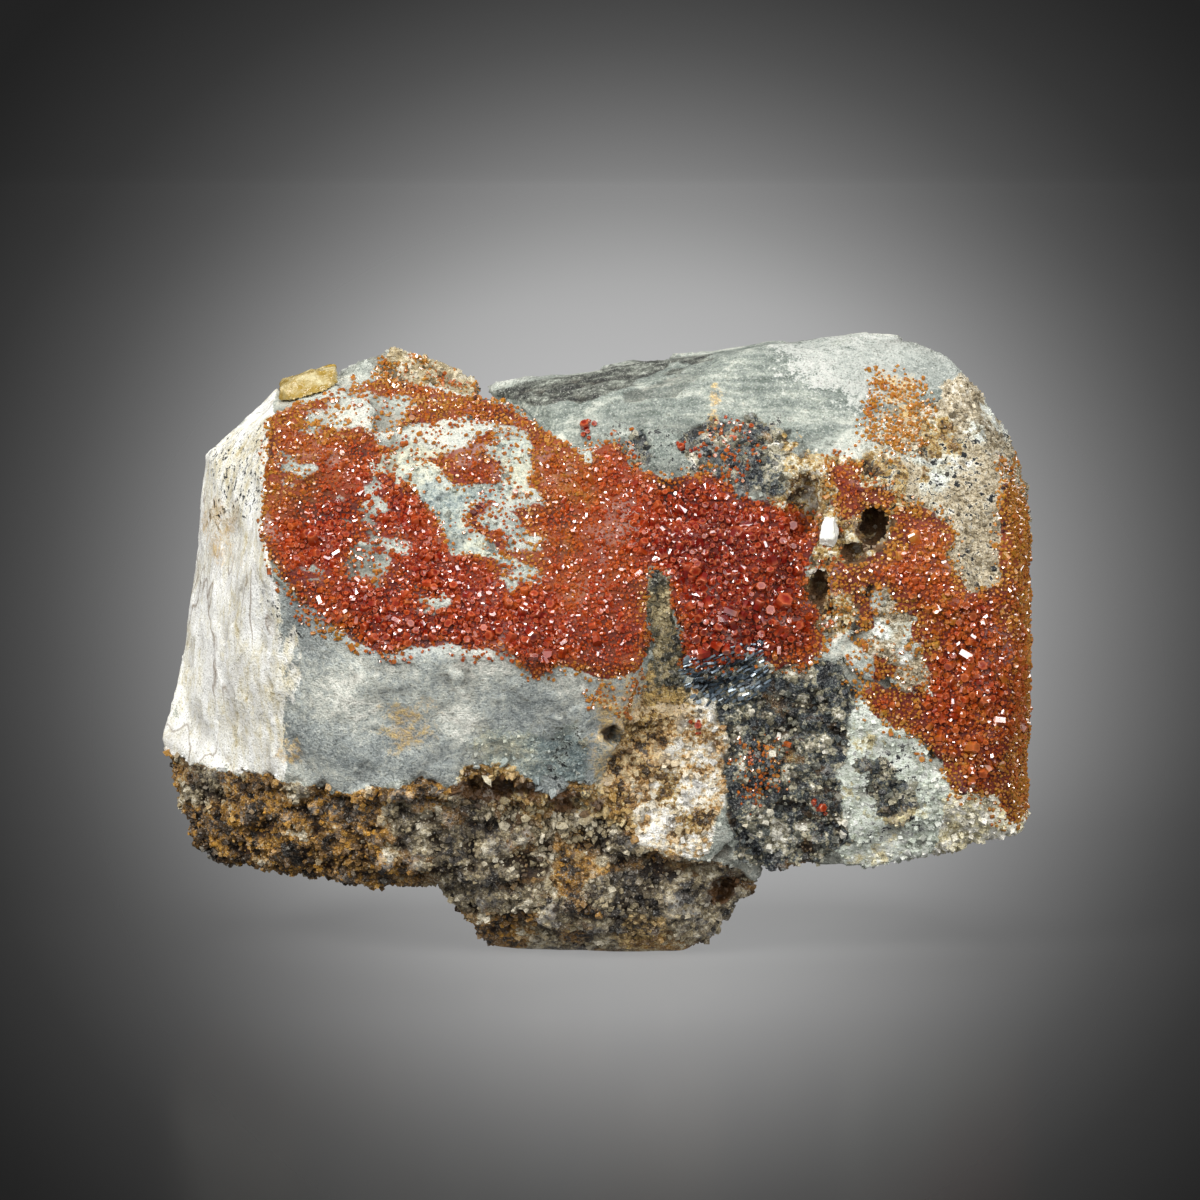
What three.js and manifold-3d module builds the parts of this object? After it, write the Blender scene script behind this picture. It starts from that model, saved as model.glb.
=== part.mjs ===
// Vanadinite on matrix: a palm-sized piece of broken vein rock, standing on its own foot.
// A pale quartz and barite vein lies over brown gossan, and red vanadinite has grown over the vein's face.
// Units are millimetres, +Z is up, and the crystal-covered face looks along -Y.
// The origin is on the flat that the rock rests on, under the middle of the rock.

import * as THREE from "three";
import { ConvexGeometry } from "three/addons/geometries/ConvexGeometry.js";
import { ImprovedNoise } from "three/addons/math/ImprovedNoise.js";
import { mergeVertices } from "three/addons/utils/BufferGeometryUtils.js";
import Module from "manifold-3d";

const wasm = await Module();
wasm.setup();

// Driving dimensions
const ROCK_EDGE = 7; // longest edge of the broken rock's facets
const SWELLS = { size: 9, height: 0.9 }; // broad unevenness of a broken face
const CHIPS = { size: 4, height: 0.5 }; // chips and steps on it
const CRUST_THICKNESS = 1.1; // one layer of crystals about a millimetre across
const CRUST_EDGE = 3.8; // longest edge of a crust's facets
const CRYSTALS = { size: 2.2, height: 0.5 }; // unevenness of the crystals' tops
const GAP = 0.3; // between a crust or crystal and the rock that carries it
const CRYSTAL_RADIUS = 0.55; // of a loose vanadinite crystal, centre to corner
const CRYSTAL_HEIGHT = 0.8;
const WELD = 1e-3; // points nearer than this are one
const LEAST_HOLLOW = 0.3; // what is left of a small hollow under a crust, as a half size
const GROUND_DEPTH = 6; // of the block that trims the foot flat
const REACH = 60; // longer than the rock is deep, for cutting right through

// Materials
const rockMaterial = new THREE.MeshStandardMaterial({ color: 0xb9b7a6, roughness: 0.75, metalness: 0 });
const redCrust = new THREE.MeshStandardMaterial({ color: 0xa62814, roughness: 0.22, metalness: 0 });
const honeyMaterial = new THREE.MeshStandardMaterial({ color: 0xc9a137, roughness: 0.35, metalness: 0 });
const quartzMaterial = new THREE.MeshStandardMaterial({ color: 0xdedccb, roughness: 0.2, metalness: 0 });
const galenaMaterial = new THREE.MeshStandardMaterial({ color: 0x4a5560, roughness: 0.35, metalness: 0.5 });

// Corners of the convex lumps that the rock is broken into, [x, y, z]
const LEFT_BLOCK = [
  [-32, -9, 54.5], [-32, -15, 49], [-32, -19, 42], [-27, -21, 37], [-20.5, -22.5, 33.5], [-7.5, -23, 33],
  [4, -20, 31.5], [-31, -17, 18.5], [-15.5, -18.5, 18], [-1, -16.5, 17.5], [-25, -5, 55.5], [-20, -3, 57.5],
  [-12, -4, 55.5], [-8, -5, 54.5], [-4.5, -7, 51.5], [0, -13, 44.5], [5, -17, 37.5], [-32, 3, 55.6],
  [-36.2, 0, 52.2], [-39.5, 0, 49.3], [-40.5, 1, 44.5], [-41.1, 1, 38], [-42, -1, 24.5], [-42.4, -2, 21],
  [-34, 15, 48], [-38, 14, 30], [-36.5, 12, 20], [-12, 18, 50], [0, 16, 47], [-2, 18, 20], [-24, 14, 53],
  [-27, 20, 41], [-22, 19, 20],
];
const TOP_RIDGE = [
  [-27, -3, 55], [-21, 0.5, 60.2], [-25.5, 2, 57.6], [-15.5, 1.5, 58.6], [-12, 2, 56.2], [-12, -3, 54.4],
  [-26, 10, 54], [-14, 12, 55],
];
const RIGHT_BLOCK = [
  [-11, 6, 55], [-1, 8, 56.1], [3, 8, 57.6], [10, 7, 58.6], [18, 6, 59.7], [23, 5, 60.5], [31.5, 4, 60.5],
  [34.4, 3, 59.5], [-5, -2, 54.5], [4, -3, 56.3], [10, 0, 58], [37.4, 3, 55.1], [41, 2, 51],
  [42.8, 1, 46], [42.7, 0, 38.5], [42.9, -1, 30.5], [42.9, -1, 16.5], [42.4, -1, 12.6], [-4, -6, 50.5],
  [4, -9, 48], [15.5, -10, 49], [29.5, -10, 48], [39.5, -8, 47], [0, -9, 46], [10, -13, 41], [22.5, -13.5, 41],
  [35, -15, 37], [40.6, -12, 38], [40.8, -13, 27], [40.6, -11, 13.4], [27, -12, 9.7], [16, -12, 9.7], [10, -15, 28],
  [24.5, -15.5, 27], [35.5, -14, 17], [0, 16, 51], [2, 20, 30], [6, 18, 14], [20, 15, 57], [24, 22, 36],
  [26, 18, 13], [34, 13, 52], [39, 15, 30], [37, 11, 14],
];
const GOSSAN_BED = [
  [-41.6, 0, 31], [-44.2, -3, 21], [-41.8, -4, 18.5], [-41, -4, 15], [-40.7, -4, 10.2], [-39.4, -4, 8.6],
  [-29.5, -10, 9.1], [-16, -12, 7.6], [-4, -14, 9], [-1, -15, 17.5], [-30.5, -16, 18], [-15.5, -17, 17],
  [-29.5, -14, 12], [-15.5, -15.5, 10], [-36, 10, 12], [-38, 11, 19], [-21, 15, 9.5], [-4, 16, 8], [-5, 17, 17],
];
const FOOT = [
  [-16, -12, 7.6], [-13.5, -10, 4.3], [-11.5, -7, 1.8], [-9.5, -2.5, -0.8], [-2, -5.8, -0.8], [7, -5.4, -0.8],
  [10, -7, 1.4], [13.5, -9, 5.3], [14.5, -10, 8], [16, -10, 9.5], [4, -15, 17.5], [-8, -15, 14.5],
  [-1, -13.5, 6], [-15, 6, 8], [-11.5, 12, 8], [-11, 9, 2.6], [-8, 10, -0.8], [4, 12, -0.8], [9, 8, -0.8],
  [11.5, 11, 3.5], [16.5, 6, 9.5], [13, 14, 10.5], [3, 17, 15], [-7, 16.5, 14],
];
const MIDDLE = [
  [-4, -17, 30], [6, -16.5, 31], [12, -15.5, 26], [20, -14, 18], [16, -12, 10], [4, -15, 12], [-4, -15.5, 13],
  [-4, 16, 30], [12, 17, 26], [14, 15, 11], [-4, 16, 10],
];
const SADDLE = [
  [-6, -6.5, 52.5], [-1.5, -12.4, 45.5], [4, -17, 38], [9, -14.6, 41], [6, -11.4, 46.5], [-1, -8.4, 51],
  [8.5, -16, 36.5], [-4, 2, 47], [4, 4, 43], [7, 1, 36],
];
const CENTRE_SWELL = [
  [3.5, -13, 45], [10, -15, 44], [18, -14, 43.5], [21, -14, 38], [19, -15.5, 31], [9.5, -16.8, 29.5],
  [8.5, -17.6, 36], [15, -17.2, 37], [10, -5, 44], [18, -5, 34], [9, -5, 31],
];
const CREVICE_FACE = [
  [2.5, -17.6, 40], [7.5, -16, 40.5], [12, -14, 40], [12.5, -14, 25], [8.5, -15.8, 25], [2.5, -17.6, 25.5],
  [-2, 12, 38], [9, 12, 38], [9, 12, 26], [-2, 12, 26],
];
const BACK = [
  [-15, 18, 46], [-13, 19.5, 25], [13, 19, 48], [16, 21.5, 26], [-1, 18, 50.5], [1, 21.5, 35], [-6, 10, 53],
  [12, 10, 55], [-10, 10, 15], [14, 10, 12], [2, 19, 15],
];
const LUMPS = [
  LEFT_BLOCK, TOP_RIDGE, RIGHT_BLOCK, GOSSAN_BED, FOOT, MIDDLE, SADDLE, CENTRE_SWELL, CREVICE_FACE, BACK,
];

// Hollows in the rock: centre, half sizes, and a turn about Y in degrees
const HOLLOWS = {
  deepVug: { at: [26.8, -12, 43.8], half: [1.9, 5, 2], turn: 20 },
  deepVugLobe: { at: [24.7, -13.2, 41.5], half: [1.3, 2.8, 1.2], turn: 0 },
  tallVug: { at: [20, -11.5, 46], half: [2, 4, 4], turn: 12 },
  lowVug: { at: [21.3, -14.5, 38.1], half: [1.5, 3.2, 1.9], turn: 0 },
  combVug: { at: [-10, -19, 18.6], half: [4.2, 3.6, 1.7], turn: 8 },
  lowCombVug: { at: [-2.2, -18.5, 16.6], half: [3.4, 3.6, 1.8], turn: 12 },
  footVug: { at: [12, -10, 7], half: [1.6, 2.6, 1.5], turn: 0 },
};

// Crusts of vanadinite as they are seen from the front: outline [x, z], bare island, and the y where each one ends.
// One that goes round the end of the rock has a second outline, [y, z], as it is seen from there.
const CRUSTS = {
  vanadinite_crust_left_and_centre: {
    back: 6,
    outline: [
      [-32, 54.5], [-26.5, 55.5], [-20.5, 57.6], [-16, 56], [-10.5, 55], [-5.5, 52.5], [-2.5, 50], [-1, 47.5],
      [0, 50.5], [1.5, 51], [2.5, 48.7], [7, 47.5], [11.5, 48.5], [13, 46], [18, 45], [20.5, 43.5],
      [19.5, 40.5], [19.5, 38], [21.5, 33.5], [20, 31.5], [17.5, 31.5], [15, 33], [11, 31.5], [8.4, 31],
      [8.2, 35], [6.8, 39.5], [4.4, 39.2], [4.1, 37], [4.7, 34], [3.2, 31.6], [1, 31], [-4, 33], [-6, 31.5],
      [-8.5, 34.5], [-16.5, 35], [-20.5, 34], [-23.5, 35], [-27, 37.5], [-29.5, 39.5], [-30.3, 41.7],
      [-32.3, 44.5], [-32.3, 50.5],
    ],
    island: [
      [-22, 51.5], [-19, 52], [-15.5, 50.5], [-14, 49], [-10.5, 49], [-10, 51.8], [-6.6, 51.5], [-5.5, 49],
      [-7.2, 47.6], [-11, 46.5], [-12.5, 45.5], [-9.5, 43.5], [-8, 41], [-12, 41.5], [-15, 41.5],
      [-16.5, 45], [-19.5, 48.5], [-23.5, 49.5],
    ],
  },
  vanadinite_crust_right: {
    back: 3,
    side: [
      [-30, 8], [-30, 50], [-5, 48], [-2, 45], [-4, 42], [0, 38], [-2, 34], [2, 30], [-0.5, 26], [1.5, 21],
      [-3, 18], [-2, 12],
    ],
    outline: [
      [23, 40], [27.5, 41], [28.5, 42.5], [29, 45], [31, 45.5], [34, 43.5], [33, 41], [34.5, 39], [36, 36.2],
      [37.5, 37.5], [40, 38], [40, 42], [40.3, 46.5], [42.5, 46.5], [46, 44], [46, 13.5], [41, 15], [40, 18],
      [35, 18.7], [34.5, 21.5], [31.5, 24], [29, 25.5], [26.5, 27.5], [25.5, 29.5], [26, 32], [30.3, 28.5],
      [33, 26.5], [33, 29.5], [31, 34], [32, 35.5], [30.5, 36.6], [27, 37], [26, 35], [23.5, 35.5],
    ],
  },
  vanadinite_tuft_top_right: {
    back: 4,
    outline: [
      [28, 56.5], [31, 56.5], [32, 54.5], [30.5, 53], [30, 51.5], [29, 51.5], [29, 52.5], [27, 52.5], [27.5, 54],
    ],
  },
  vanadinite_strip_above_vug: {
    back: 0,
    outline: [[23, 49.5], [24.7, 49.5], [24.8, 47.2], [28, 47], [27.5, 46], [24.2, 45.4], [23.4, 46.5]],
  },
  vanadinite_sprig_upper_middle: {
    back: 0,
    outline: [[11.5, 52], [13, 52.6], [14, 52], [13.7, 50.5], [12.5, 50], [11.4, 51]],
  },
  vanadinite_streak_lower_middle: {
    back: 0,
    outline: [[15, 22], [16, 22.2], [16.8, 20.5], [16.5, 18.5], [15.5, 18], [14.5, 19]],
  },
};

// Loose vanadinite crystals out on the bare rock, [x, z]
const LOOSE = {
  vanadinite_crystal_upper_left: [-1.5, 52.4],
  vanadinite_crystal_upper_middle: [8, 51],
  vanadinite_crystal_low_left: [9.6, 24.8],
  vanadinite_crystal_low_right: [21.7, 16.2],
};

// Other crystals, given as in LUMPS; the rock they grow from is cut away
const HONEY_CRYSTAL = [
  [-32, -3, 54], [-31.6, -3, 56.4], [-29, -2, 57.7], [-26.2, -2, 58.2], [-25.8, -4, 56.6], [-30, -6, 55.2],
  [-27, -5.8, 56.2], [-31.8, 3, 56.4], [-26.4, 3, 58], [-29, 2, 53],
];
const WHITE_CRYSTAL = [
  [21.3, -12.5, 40.8], [22.9, -12.5, 40.4], [23.7, -11, 41], [21.4, -13.6, 43], [22.8, -13.9, 43],
  [23.7, -12, 43.6], [22.8, -12.6, 44.9], [21.9, -12.2, 45], [21.7, -10, 42.4],
];
const METAL_BLADES = {
  back: 0,
  outline: [[9, 30.5], [11, 30.9], [15, 32.3], [15.2, 29.4], [13.2, 28], [10, 28.2]],
};

// The geometry with nothing but its points, so that those that coincide can be merged.
function bareOf(geometry) {
  const bare = geometry.clone();
  bare.deleteAttribute("normal");
  bare.deleteAttribute("uv");
  return bare;
}

// Makes a manifold solid of a closed three.js geometry.
function solidOf(geometry) {
  const merged = mergeVertices(bareOf(geometry), WELD);
  return new wasm.Manifold(
    new wasm.Mesh({
      numProp: 3,
      vertProperties: new Float32Array(merged.attributes.position.array),
      triVerts: new Uint32Array(merged.index.array),
    }),
  );
}

// Makes an indexed three.js geometry of a manifold solid.
function geometryOf(solid) {
  const mesh = solid.getMesh();
  const stride = mesh.numProp;
  const positions = new Float32Array(mesh.numVert * 3);
  for (let i = 0; i < mesh.numVert; i++) {
    positions.set(mesh.vertProperties.subarray(i * stride, i * stride + 3), i * 3);
  }
  const geometry = new THREE.BufferGeometry();
  geometry.setAttribute("position", new THREE.BufferAttribute(positions, 3));
  geometry.setIndex(new THREE.BufferAttribute(new Uint32Array(mesh.triVerts), 1));
  geometry.computeVertexNormals();
  return geometry;
}

function hullOf(corners) {
  return solidOf(new ConvexGeometry(corners.map((corner) => new THREE.Vector3(...corner))));
}

// A lump of rock with these corners, its flats uneven.
function lumpOf(corners) {
  return roughen(refine(geometryOf(hullOf(corners)), ROCK_EDGE), [SWELLS, CHIPS]);
}

function hollowOf({ at, half, turn }, growth) {
  const ball = new THREE.IcosahedronGeometry(1, 1);
  ball.scale(...half.map((size) => Math.max(size - growth, LEAST_HOLLOW)));
  ball.rotateY(THREE.MathUtils.degToRad(turn));
  ball.translate(...at);
  return solidOf(ball);
}

// Splits every edge longer than `longest` at its middle, over and over, so that no crack opens between triangles.
function refine(geometry, longest) {
  let points = [];
  const position = geometry.attributes.position;
  for (let i = 0; i < position.count; i++) {
    points.push(new THREE.Vector3().fromBufferAttribute(position, i));
  }
  let faces = [];
  for (let i = 0; i < geometry.index.count; i += 3) {
    faces.push([geometry.index.getX(i), geometry.index.getX(i + 1), geometry.index.getX(i + 2)]);
  }
  let split = true;
  while (split) {
    split = false;
    const middles = new Map();
    const middleOf = (a, b) => {
      if (points[a].distanceTo(points[b]) <= longest) return null;
      const key = a < b ? `${a},${b}` : `${b},${a}`;
      if (!middles.has(key)) {
        middles.set(key, points.length);
        points.push(points[a].clone().add(points[b]).multiplyScalar(0.5));
      }
      return middles.get(key);
    };
    const next = [];
    for (const face of faces) {
      const cuts = face.map((corner, i) => middleOf(corner, face[(i + 1) % 3]));
      const count = cuts.filter((cut) => cut !== null).length;
      if (count > 0) split = true;
      next.push(...splitFace(face, cuts, count));
    }
    faces = next;
  }
  const finer = new THREE.BufferGeometry().setFromPoints(points);
  finer.setIndex(faces.flat());
  finer.computeVertexNormals();
  return finer;
}

// The triangles that one triangle becomes when some of its edges are cut at their middles.
function splitFace(face, cuts, count) {
  if (count === 0) return [face];
  if (count === 3) {
    const [a, b, c] = face;
    const [ab, bc, ca] = cuts;
    return [[a, ab, ca], [ab, b, bc], [ca, bc, c], [ab, bc, ca]];
  }
  // Turn the triangle so that its first edge is cut, and with two cuts so that the last edge is whole.
  let turn = 0;
  while (!(cuts[turn] !== null && (count === 1 || cuts[(turn + 2) % 3] === null))) turn++;
  const [a, b, c] = [0, 1, 2].map((i) => face[(turn + i) % 3]);
  const [ab, bc] = [0, 1].map((i) => cuts[(turn + i) % 3]);
  if (count === 1) return [[a, ab, c], [ab, b, c]];
  return [[a, ab, c], [ab, b, bc], [ab, bc, c]];
}

// Moves every point by a smooth noise, which leaves the surface closed.
function roughen(geometry, layers) {
  const noise = new ImprovedNoise();
  const rough = geometry.clone();
  const position = rough.attributes.position;
  for (let i = 0; i < position.count; i++) {
    const point = new THREE.Vector3().fromBufferAttribute(position, i);
    const shift = new THREE.Vector3();
    layers.forEach(({ size, height }, layer) => {
      const at = point.clone().divideScalar(size).addScalar(17.3 * (layer + 1));
      shift.x += height * noise.noise(at.x, at.y, at.z);
      shift.y += height * noise.noise(at.y + 5.1, at.z, at.x);
      shift.z += height * noise.noise(at.z + 9.7, at.x, at.y);
    });
    position.setXYZ(i, point.x + shift.x, point.y + shift.y, point.z + shift.z);
  }
  rough.computeVertexNormals();
  return rough;
}

// The same surface moved outwards by `distance` all over.
function swell(geometry, distance) {
  const swollen = geometry.clone();
  const { position, normal } = swollen.attributes;
  for (let i = 0; i < position.count; i++) {
    position.setXYZ(
      i,
      position.getX(i) + distance * normal.getX(i),
      position.getY(i) + distance * normal.getY(i),
      position.getZ(i) + distance * normal.getZ(i),
    );
  }
  return swollen;
}

// The rock's lumps joined and hollowed out, with every one of them grown outwards by `growth` and then finished.
function rockGrownBy(growth, finish) {
  const joined = lumps.map((lump) => solidOf(finish(swell(lump, growth)))).reduce((one, other) => one.add(other));
  return Object.values(HOLLOWS).reduce((whole, hollow) => whole.subtract(hollowOf(hollow, growth)), joined);
}

// A prism that runs along Y, from `back` towards the front, with this outline in X and Z.
function prismOf(outline, back) {
  const shape = new THREE.Shape(outline.map(([x, z]) => new THREE.Vector2(x, z)));
  const prism = new THREE.ExtrudeGeometry(shape, { depth: REACH, bevelEnabled: false });
  return solidOf(prism.rotateX(Math.PI / 2).translate(0, back, 0));
}

// A prism that runs along X with this outline in Y and Z.
function sidePrismOf(outline) {
  const shape = new THREE.Shape(outline.map(([y, z]) => new THREE.Vector2(y, z)));
  const prism = new THREE.ExtrudeGeometry(shape, { depth: REACH, bevelEnabled: false });
  return solidOf(prism.rotateX(Math.PI / 2).rotateZ(Math.PI / 2));
}

// The layer between two skins of the rock, inside an outline drawn from the front.
function crustBetween(under, over, { outline, island, side, back }) {
  const layer = over.subtract(under).intersect(prismOf(outline, back));
  const ended = side ? layer.intersect(sidePrismOf(side)) : layer;
  return island ? ended.subtract(prismOf(island, back)) : ended;
}

// A six-sided crystal standing on the rock where a line from the front at x and z meets it.
function looseCrystal(rock, [x, z]) {
  const [hit] = new THREE.Raycaster(new THREE.Vector3(x, -REACH, z), new THREE.Vector3(0, 1, 0)).intersectObject(rock);
  const crystal = new THREE.CylinderGeometry(CRYSTAL_RADIUS, CRYSTAL_RADIUS, CRYSTAL_HEIGHT, 6);
  const upright = new THREE.Quaternion().setFromUnitVectors(new THREE.Vector3(0, 1, 0), hit.face.normal);
  const foot = hit.point.clone().addScaledVector(hit.face.normal, GAP + CRYSTAL_HEIGHT / 2);
  return crystal.applyQuaternion(upright).translate(...foot.toArray());
}

// The largest piece of a solid, without the crumbs a cut can leave.
function mainPieceOf(solid) {
  const welded = solidOf(geometryOf(solid));
  return geometryOf(welded.decompose().reduce((most, piece) => (piece.volume() > most.volume() ? piece : most)));
}

const lumps = LUMPS.map(lumpOf);
const ground = new THREE.BoxGeometry(2 * REACH, 2 * REACH, GROUND_DEPTH).translate(0, 0, -GROUND_DEPTH / 2);
const bareRock = rockGrownBy(0, (lump) => lump).subtract(solidOf(ground));
const underside = rockGrownBy(GAP, (lump) => lump);
const crystalTops = rockGrownBy(GAP + CRUST_THICKNESS, (lump) => roughen(refine(lump, CRUST_EDGE), [CRYSTALS]));

const specimen = new THREE.Group();
function add(name, geometry, material) {
  const mesh = new THREE.Mesh(geometry, material.clone());
  mesh.name = name;
  specimen.add(mesh);
  return mesh;
}

const rock = add("matrix", geometryOf(bareRock), rockMaterial);
for (const [name, crust] of Object.entries(CRUSTS)) {
  add(name, mainPieceOf(crustBetween(underside, crystalTops, crust)), redCrust);
}
for (const [name, spot] of Object.entries(LOOSE)) {
  add(name, looseCrystal(rock, spot), redCrust);
}
add("dark_metallic_blades", mainPieceOf(crustBetween(underside, crystalTops, METAL_BLADES)), galenaMaterial);
add("honey_crystal", mainPieceOf(hullOf(HONEY_CRYSTAL).subtract(underside)), honeyMaterial);
add("white_crystal_in_vug", mainPieceOf(hullOf(WHITE_CRYSTAL).subtract(underside)), quartzMaterial);

export default specimen;
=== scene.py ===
"""Vanadinite on matrix: the looks of a broken piece of vein rock with red crystals over its front face.

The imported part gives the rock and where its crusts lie. This script gives the rock its broken, grainy surface and
its colours, and grows the crystals on it. Sizes are in metres, and those written as multiples of MM are millimetres.
"""

import logging
import math
from collections.abc import Callable
from dataclasses import dataclass, field
from enum import Enum

import bpy
import numpy as np
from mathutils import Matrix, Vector
from mathutils.bvhtree import BVHTree

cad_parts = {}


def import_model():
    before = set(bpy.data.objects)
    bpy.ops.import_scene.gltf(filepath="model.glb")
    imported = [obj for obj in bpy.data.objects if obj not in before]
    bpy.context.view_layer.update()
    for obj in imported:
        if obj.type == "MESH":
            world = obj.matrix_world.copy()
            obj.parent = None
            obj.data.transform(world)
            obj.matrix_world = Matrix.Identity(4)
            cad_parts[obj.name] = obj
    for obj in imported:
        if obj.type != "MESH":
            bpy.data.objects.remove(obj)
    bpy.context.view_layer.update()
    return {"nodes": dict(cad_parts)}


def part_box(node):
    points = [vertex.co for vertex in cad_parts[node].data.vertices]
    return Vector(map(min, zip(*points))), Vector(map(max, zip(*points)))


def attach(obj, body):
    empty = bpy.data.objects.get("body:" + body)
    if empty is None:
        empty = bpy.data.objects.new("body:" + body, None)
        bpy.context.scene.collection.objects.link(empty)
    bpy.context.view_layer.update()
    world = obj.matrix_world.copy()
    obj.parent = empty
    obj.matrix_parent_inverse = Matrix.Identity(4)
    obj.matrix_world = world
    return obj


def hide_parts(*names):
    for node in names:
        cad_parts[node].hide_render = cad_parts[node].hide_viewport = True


MM = 0.001
LOG = logging.getLogger("vanadinite_on_matrix")
NOTHING_NEAR = 9.0  # stands for a distance in millimetres past any reach
TRIES = 3.2  # spots tried for each one that finds room

Colour = tuple[float, float, float, float]
Outline = tuple[tuple[float, float], ...]


def tint(code: str) -> Colour:
    """Turns a screen colour into the linear one that a material takes.

    Args:
        code: six hexadecimal digits, two each for red, green and blue.

    Returns:
        Linear red, green and blue, and an alpha of 1.
    """
    parts = [int(code[i : i + 2], 16) / 255 for i in (0, 2, 4)]
    linear = [part / 12.92 if part <= 0.04045 else ((part + 0.055) / 1.055) ** 2.4 for part in parts]
    return (linear[0], linear[1], linear[2], 1.0)


def step(low: float, high: float, values: np.ndarray) -> np.ndarray:
    """Goes smoothly from 0 where values are at `low` to 1 where they are at `high`.

    Args:
        low: the value that gives 0; it may be above `high`.
        high: the value that gives 1.
        values: any array.

    Returns:
        An array of the same shape.
    """
    share = np.clip((values - low) / (high - low), 0, 1)
    return share * share * (3 - 2 * share)


class Zone(Enum):
    """What the rock is made of or covered with from place to place. The value names a mesh attribute."""

    SIDE = "zone_side"
    QUARTZ = "zone_quartz"
    SLAB = "zone_slab"
    SCHIST = "zone_schist"
    TAN = "zone_tan"
    SUGAR = "zone_sugar"
    BEIGE = "zone_beige"
    MINT = "zone_mint"
    CREAM = "zone_cream"
    BLACK = "zone_black"
    VUGGY = "zone_vuggy"
    CREVICE = "zone_crevice"
    GOSSAN = "zone_gossan"
    FOOT = "zone_foot"
    STAIN = "zone_stain"
    ISLAND = "zone_island"
    CRUST = "zone_crust"
    HOLLOW = "zone_hollow"
    SPECKS = "zone_specks"
    COMB = "zone_comb"
    WARM = "zone_warm"
    STRAYS = "zone_strays"
    SMOOTH = "zone_smooth"


SMOOTH_ZONES = (Zone.SIDE, Zone.QUARTZ, Zone.SLAB, Zone.WARM, Zone.ISLAND, Zone.MINT)


@dataclass(frozen=True)
class Noise:
    """Random values that vary smoothly through space and are the same in every run."""

    seed: int

    def hashed(self, cells: np.ndarray, channel: int = 0) -> np.ndarray:
        """Gives each cell of a grid a random number.

        Args:
            cells: whole numbers, three to a row.
            channel: which of several independent numbers.

        Returns:
            Numbers from 0 to 1, one to a row.
        """
        mixed = cells[..., 0] * 73856093 ^ cells[..., 1] * 19349663 ^ cells[..., 2] * 83492791
        mixed = (mixed ^ (self.seed * 6542989 + channel * 975313)) & 0xFFFFFFFF
        for _ in range(2):
            mixed = (((mixed >> 16) ^ mixed) * 0x45D9F3B) & 0xFFFFFFFF
        return ((mixed >> 16) ^ mixed) / 0xFFFFFFFF

    def smooth(self, points: np.ndarray, size: float) -> np.ndarray:
        """Smooth noise.

        Args:
            points: positions, three to a row.
            size: the distance over which it changes.

        Returns:
            Numbers from -1 to 1, one to a row.
        """
        scaled = points / size
        cell = np.floor(scaled).astype(np.int64)
        part = scaled - cell
        part = part * part * (3 - 2 * part)
        total = np.zeros(len(points))
        for corner in np.ndindex(2, 2, 2):
            share = np.prod(np.where(np.array(corner) == 1, part, 1 - part), axis=1)
            total += share * self.hashed(cell + np.array(corner))
        return total * 2 - 1

    def layered(self, points: np.ndarray, size: float, layers: int = 3) -> np.ndarray:
        """Noise with finer noise on it, each layer half the size and half the height of the one before.

        Args:
            points: positions, three to a row.
            size: the size of the broadest layer.
            layers: how many there are.

        Returns:
            Numbers from about -1 to 1, one to a row.
        """
        total = np.zeros(len(points))
        for layer in range(layers):
            total += Noise(self.seed + 31 * layer).smooth(points, size / 2**layer) / 2**layer
        return total / 1.5

    def facets(self, points: np.ndarray, size: float, tilt: float) -> np.ndarray:
        """Flat patches with a step between each and the next, like a broken crystalline face.

        Args:
            points: positions, three to a row.
            size: how wide a patch is.
            tilt: the slope of each patch.

        Returns:
            The height at each point.
        """
        scaled = points / size
        cell = np.floor(scaled).astype(np.int64)
        nearest = np.full(len(points), np.inf)
        height = np.zeros(len(points))
        for offset in np.ndindex(3, 3, 3):
            other = cell + np.array(offset) - 1
            middle = other + np.stack([self.hashed(other, channel) for channel in (1, 2, 3)], axis=1)
            gap = scaled - middle
            distance = np.einsum("ij,ij->i", gap, gap)
            lean = np.stack([self.hashed(other, channel) for channel in (4, 5, 6)], axis=1) * 2 - 1
            closer = distance < nearest
            slope = np.einsum("ij,ij->i", gap, lean) + 0.6 * (self.hashed(other, 7) - 0.5)
            height = np.where(closer, slope * tilt * size, height)
            nearest = np.where(closer, distance, nearest)
        return height


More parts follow.
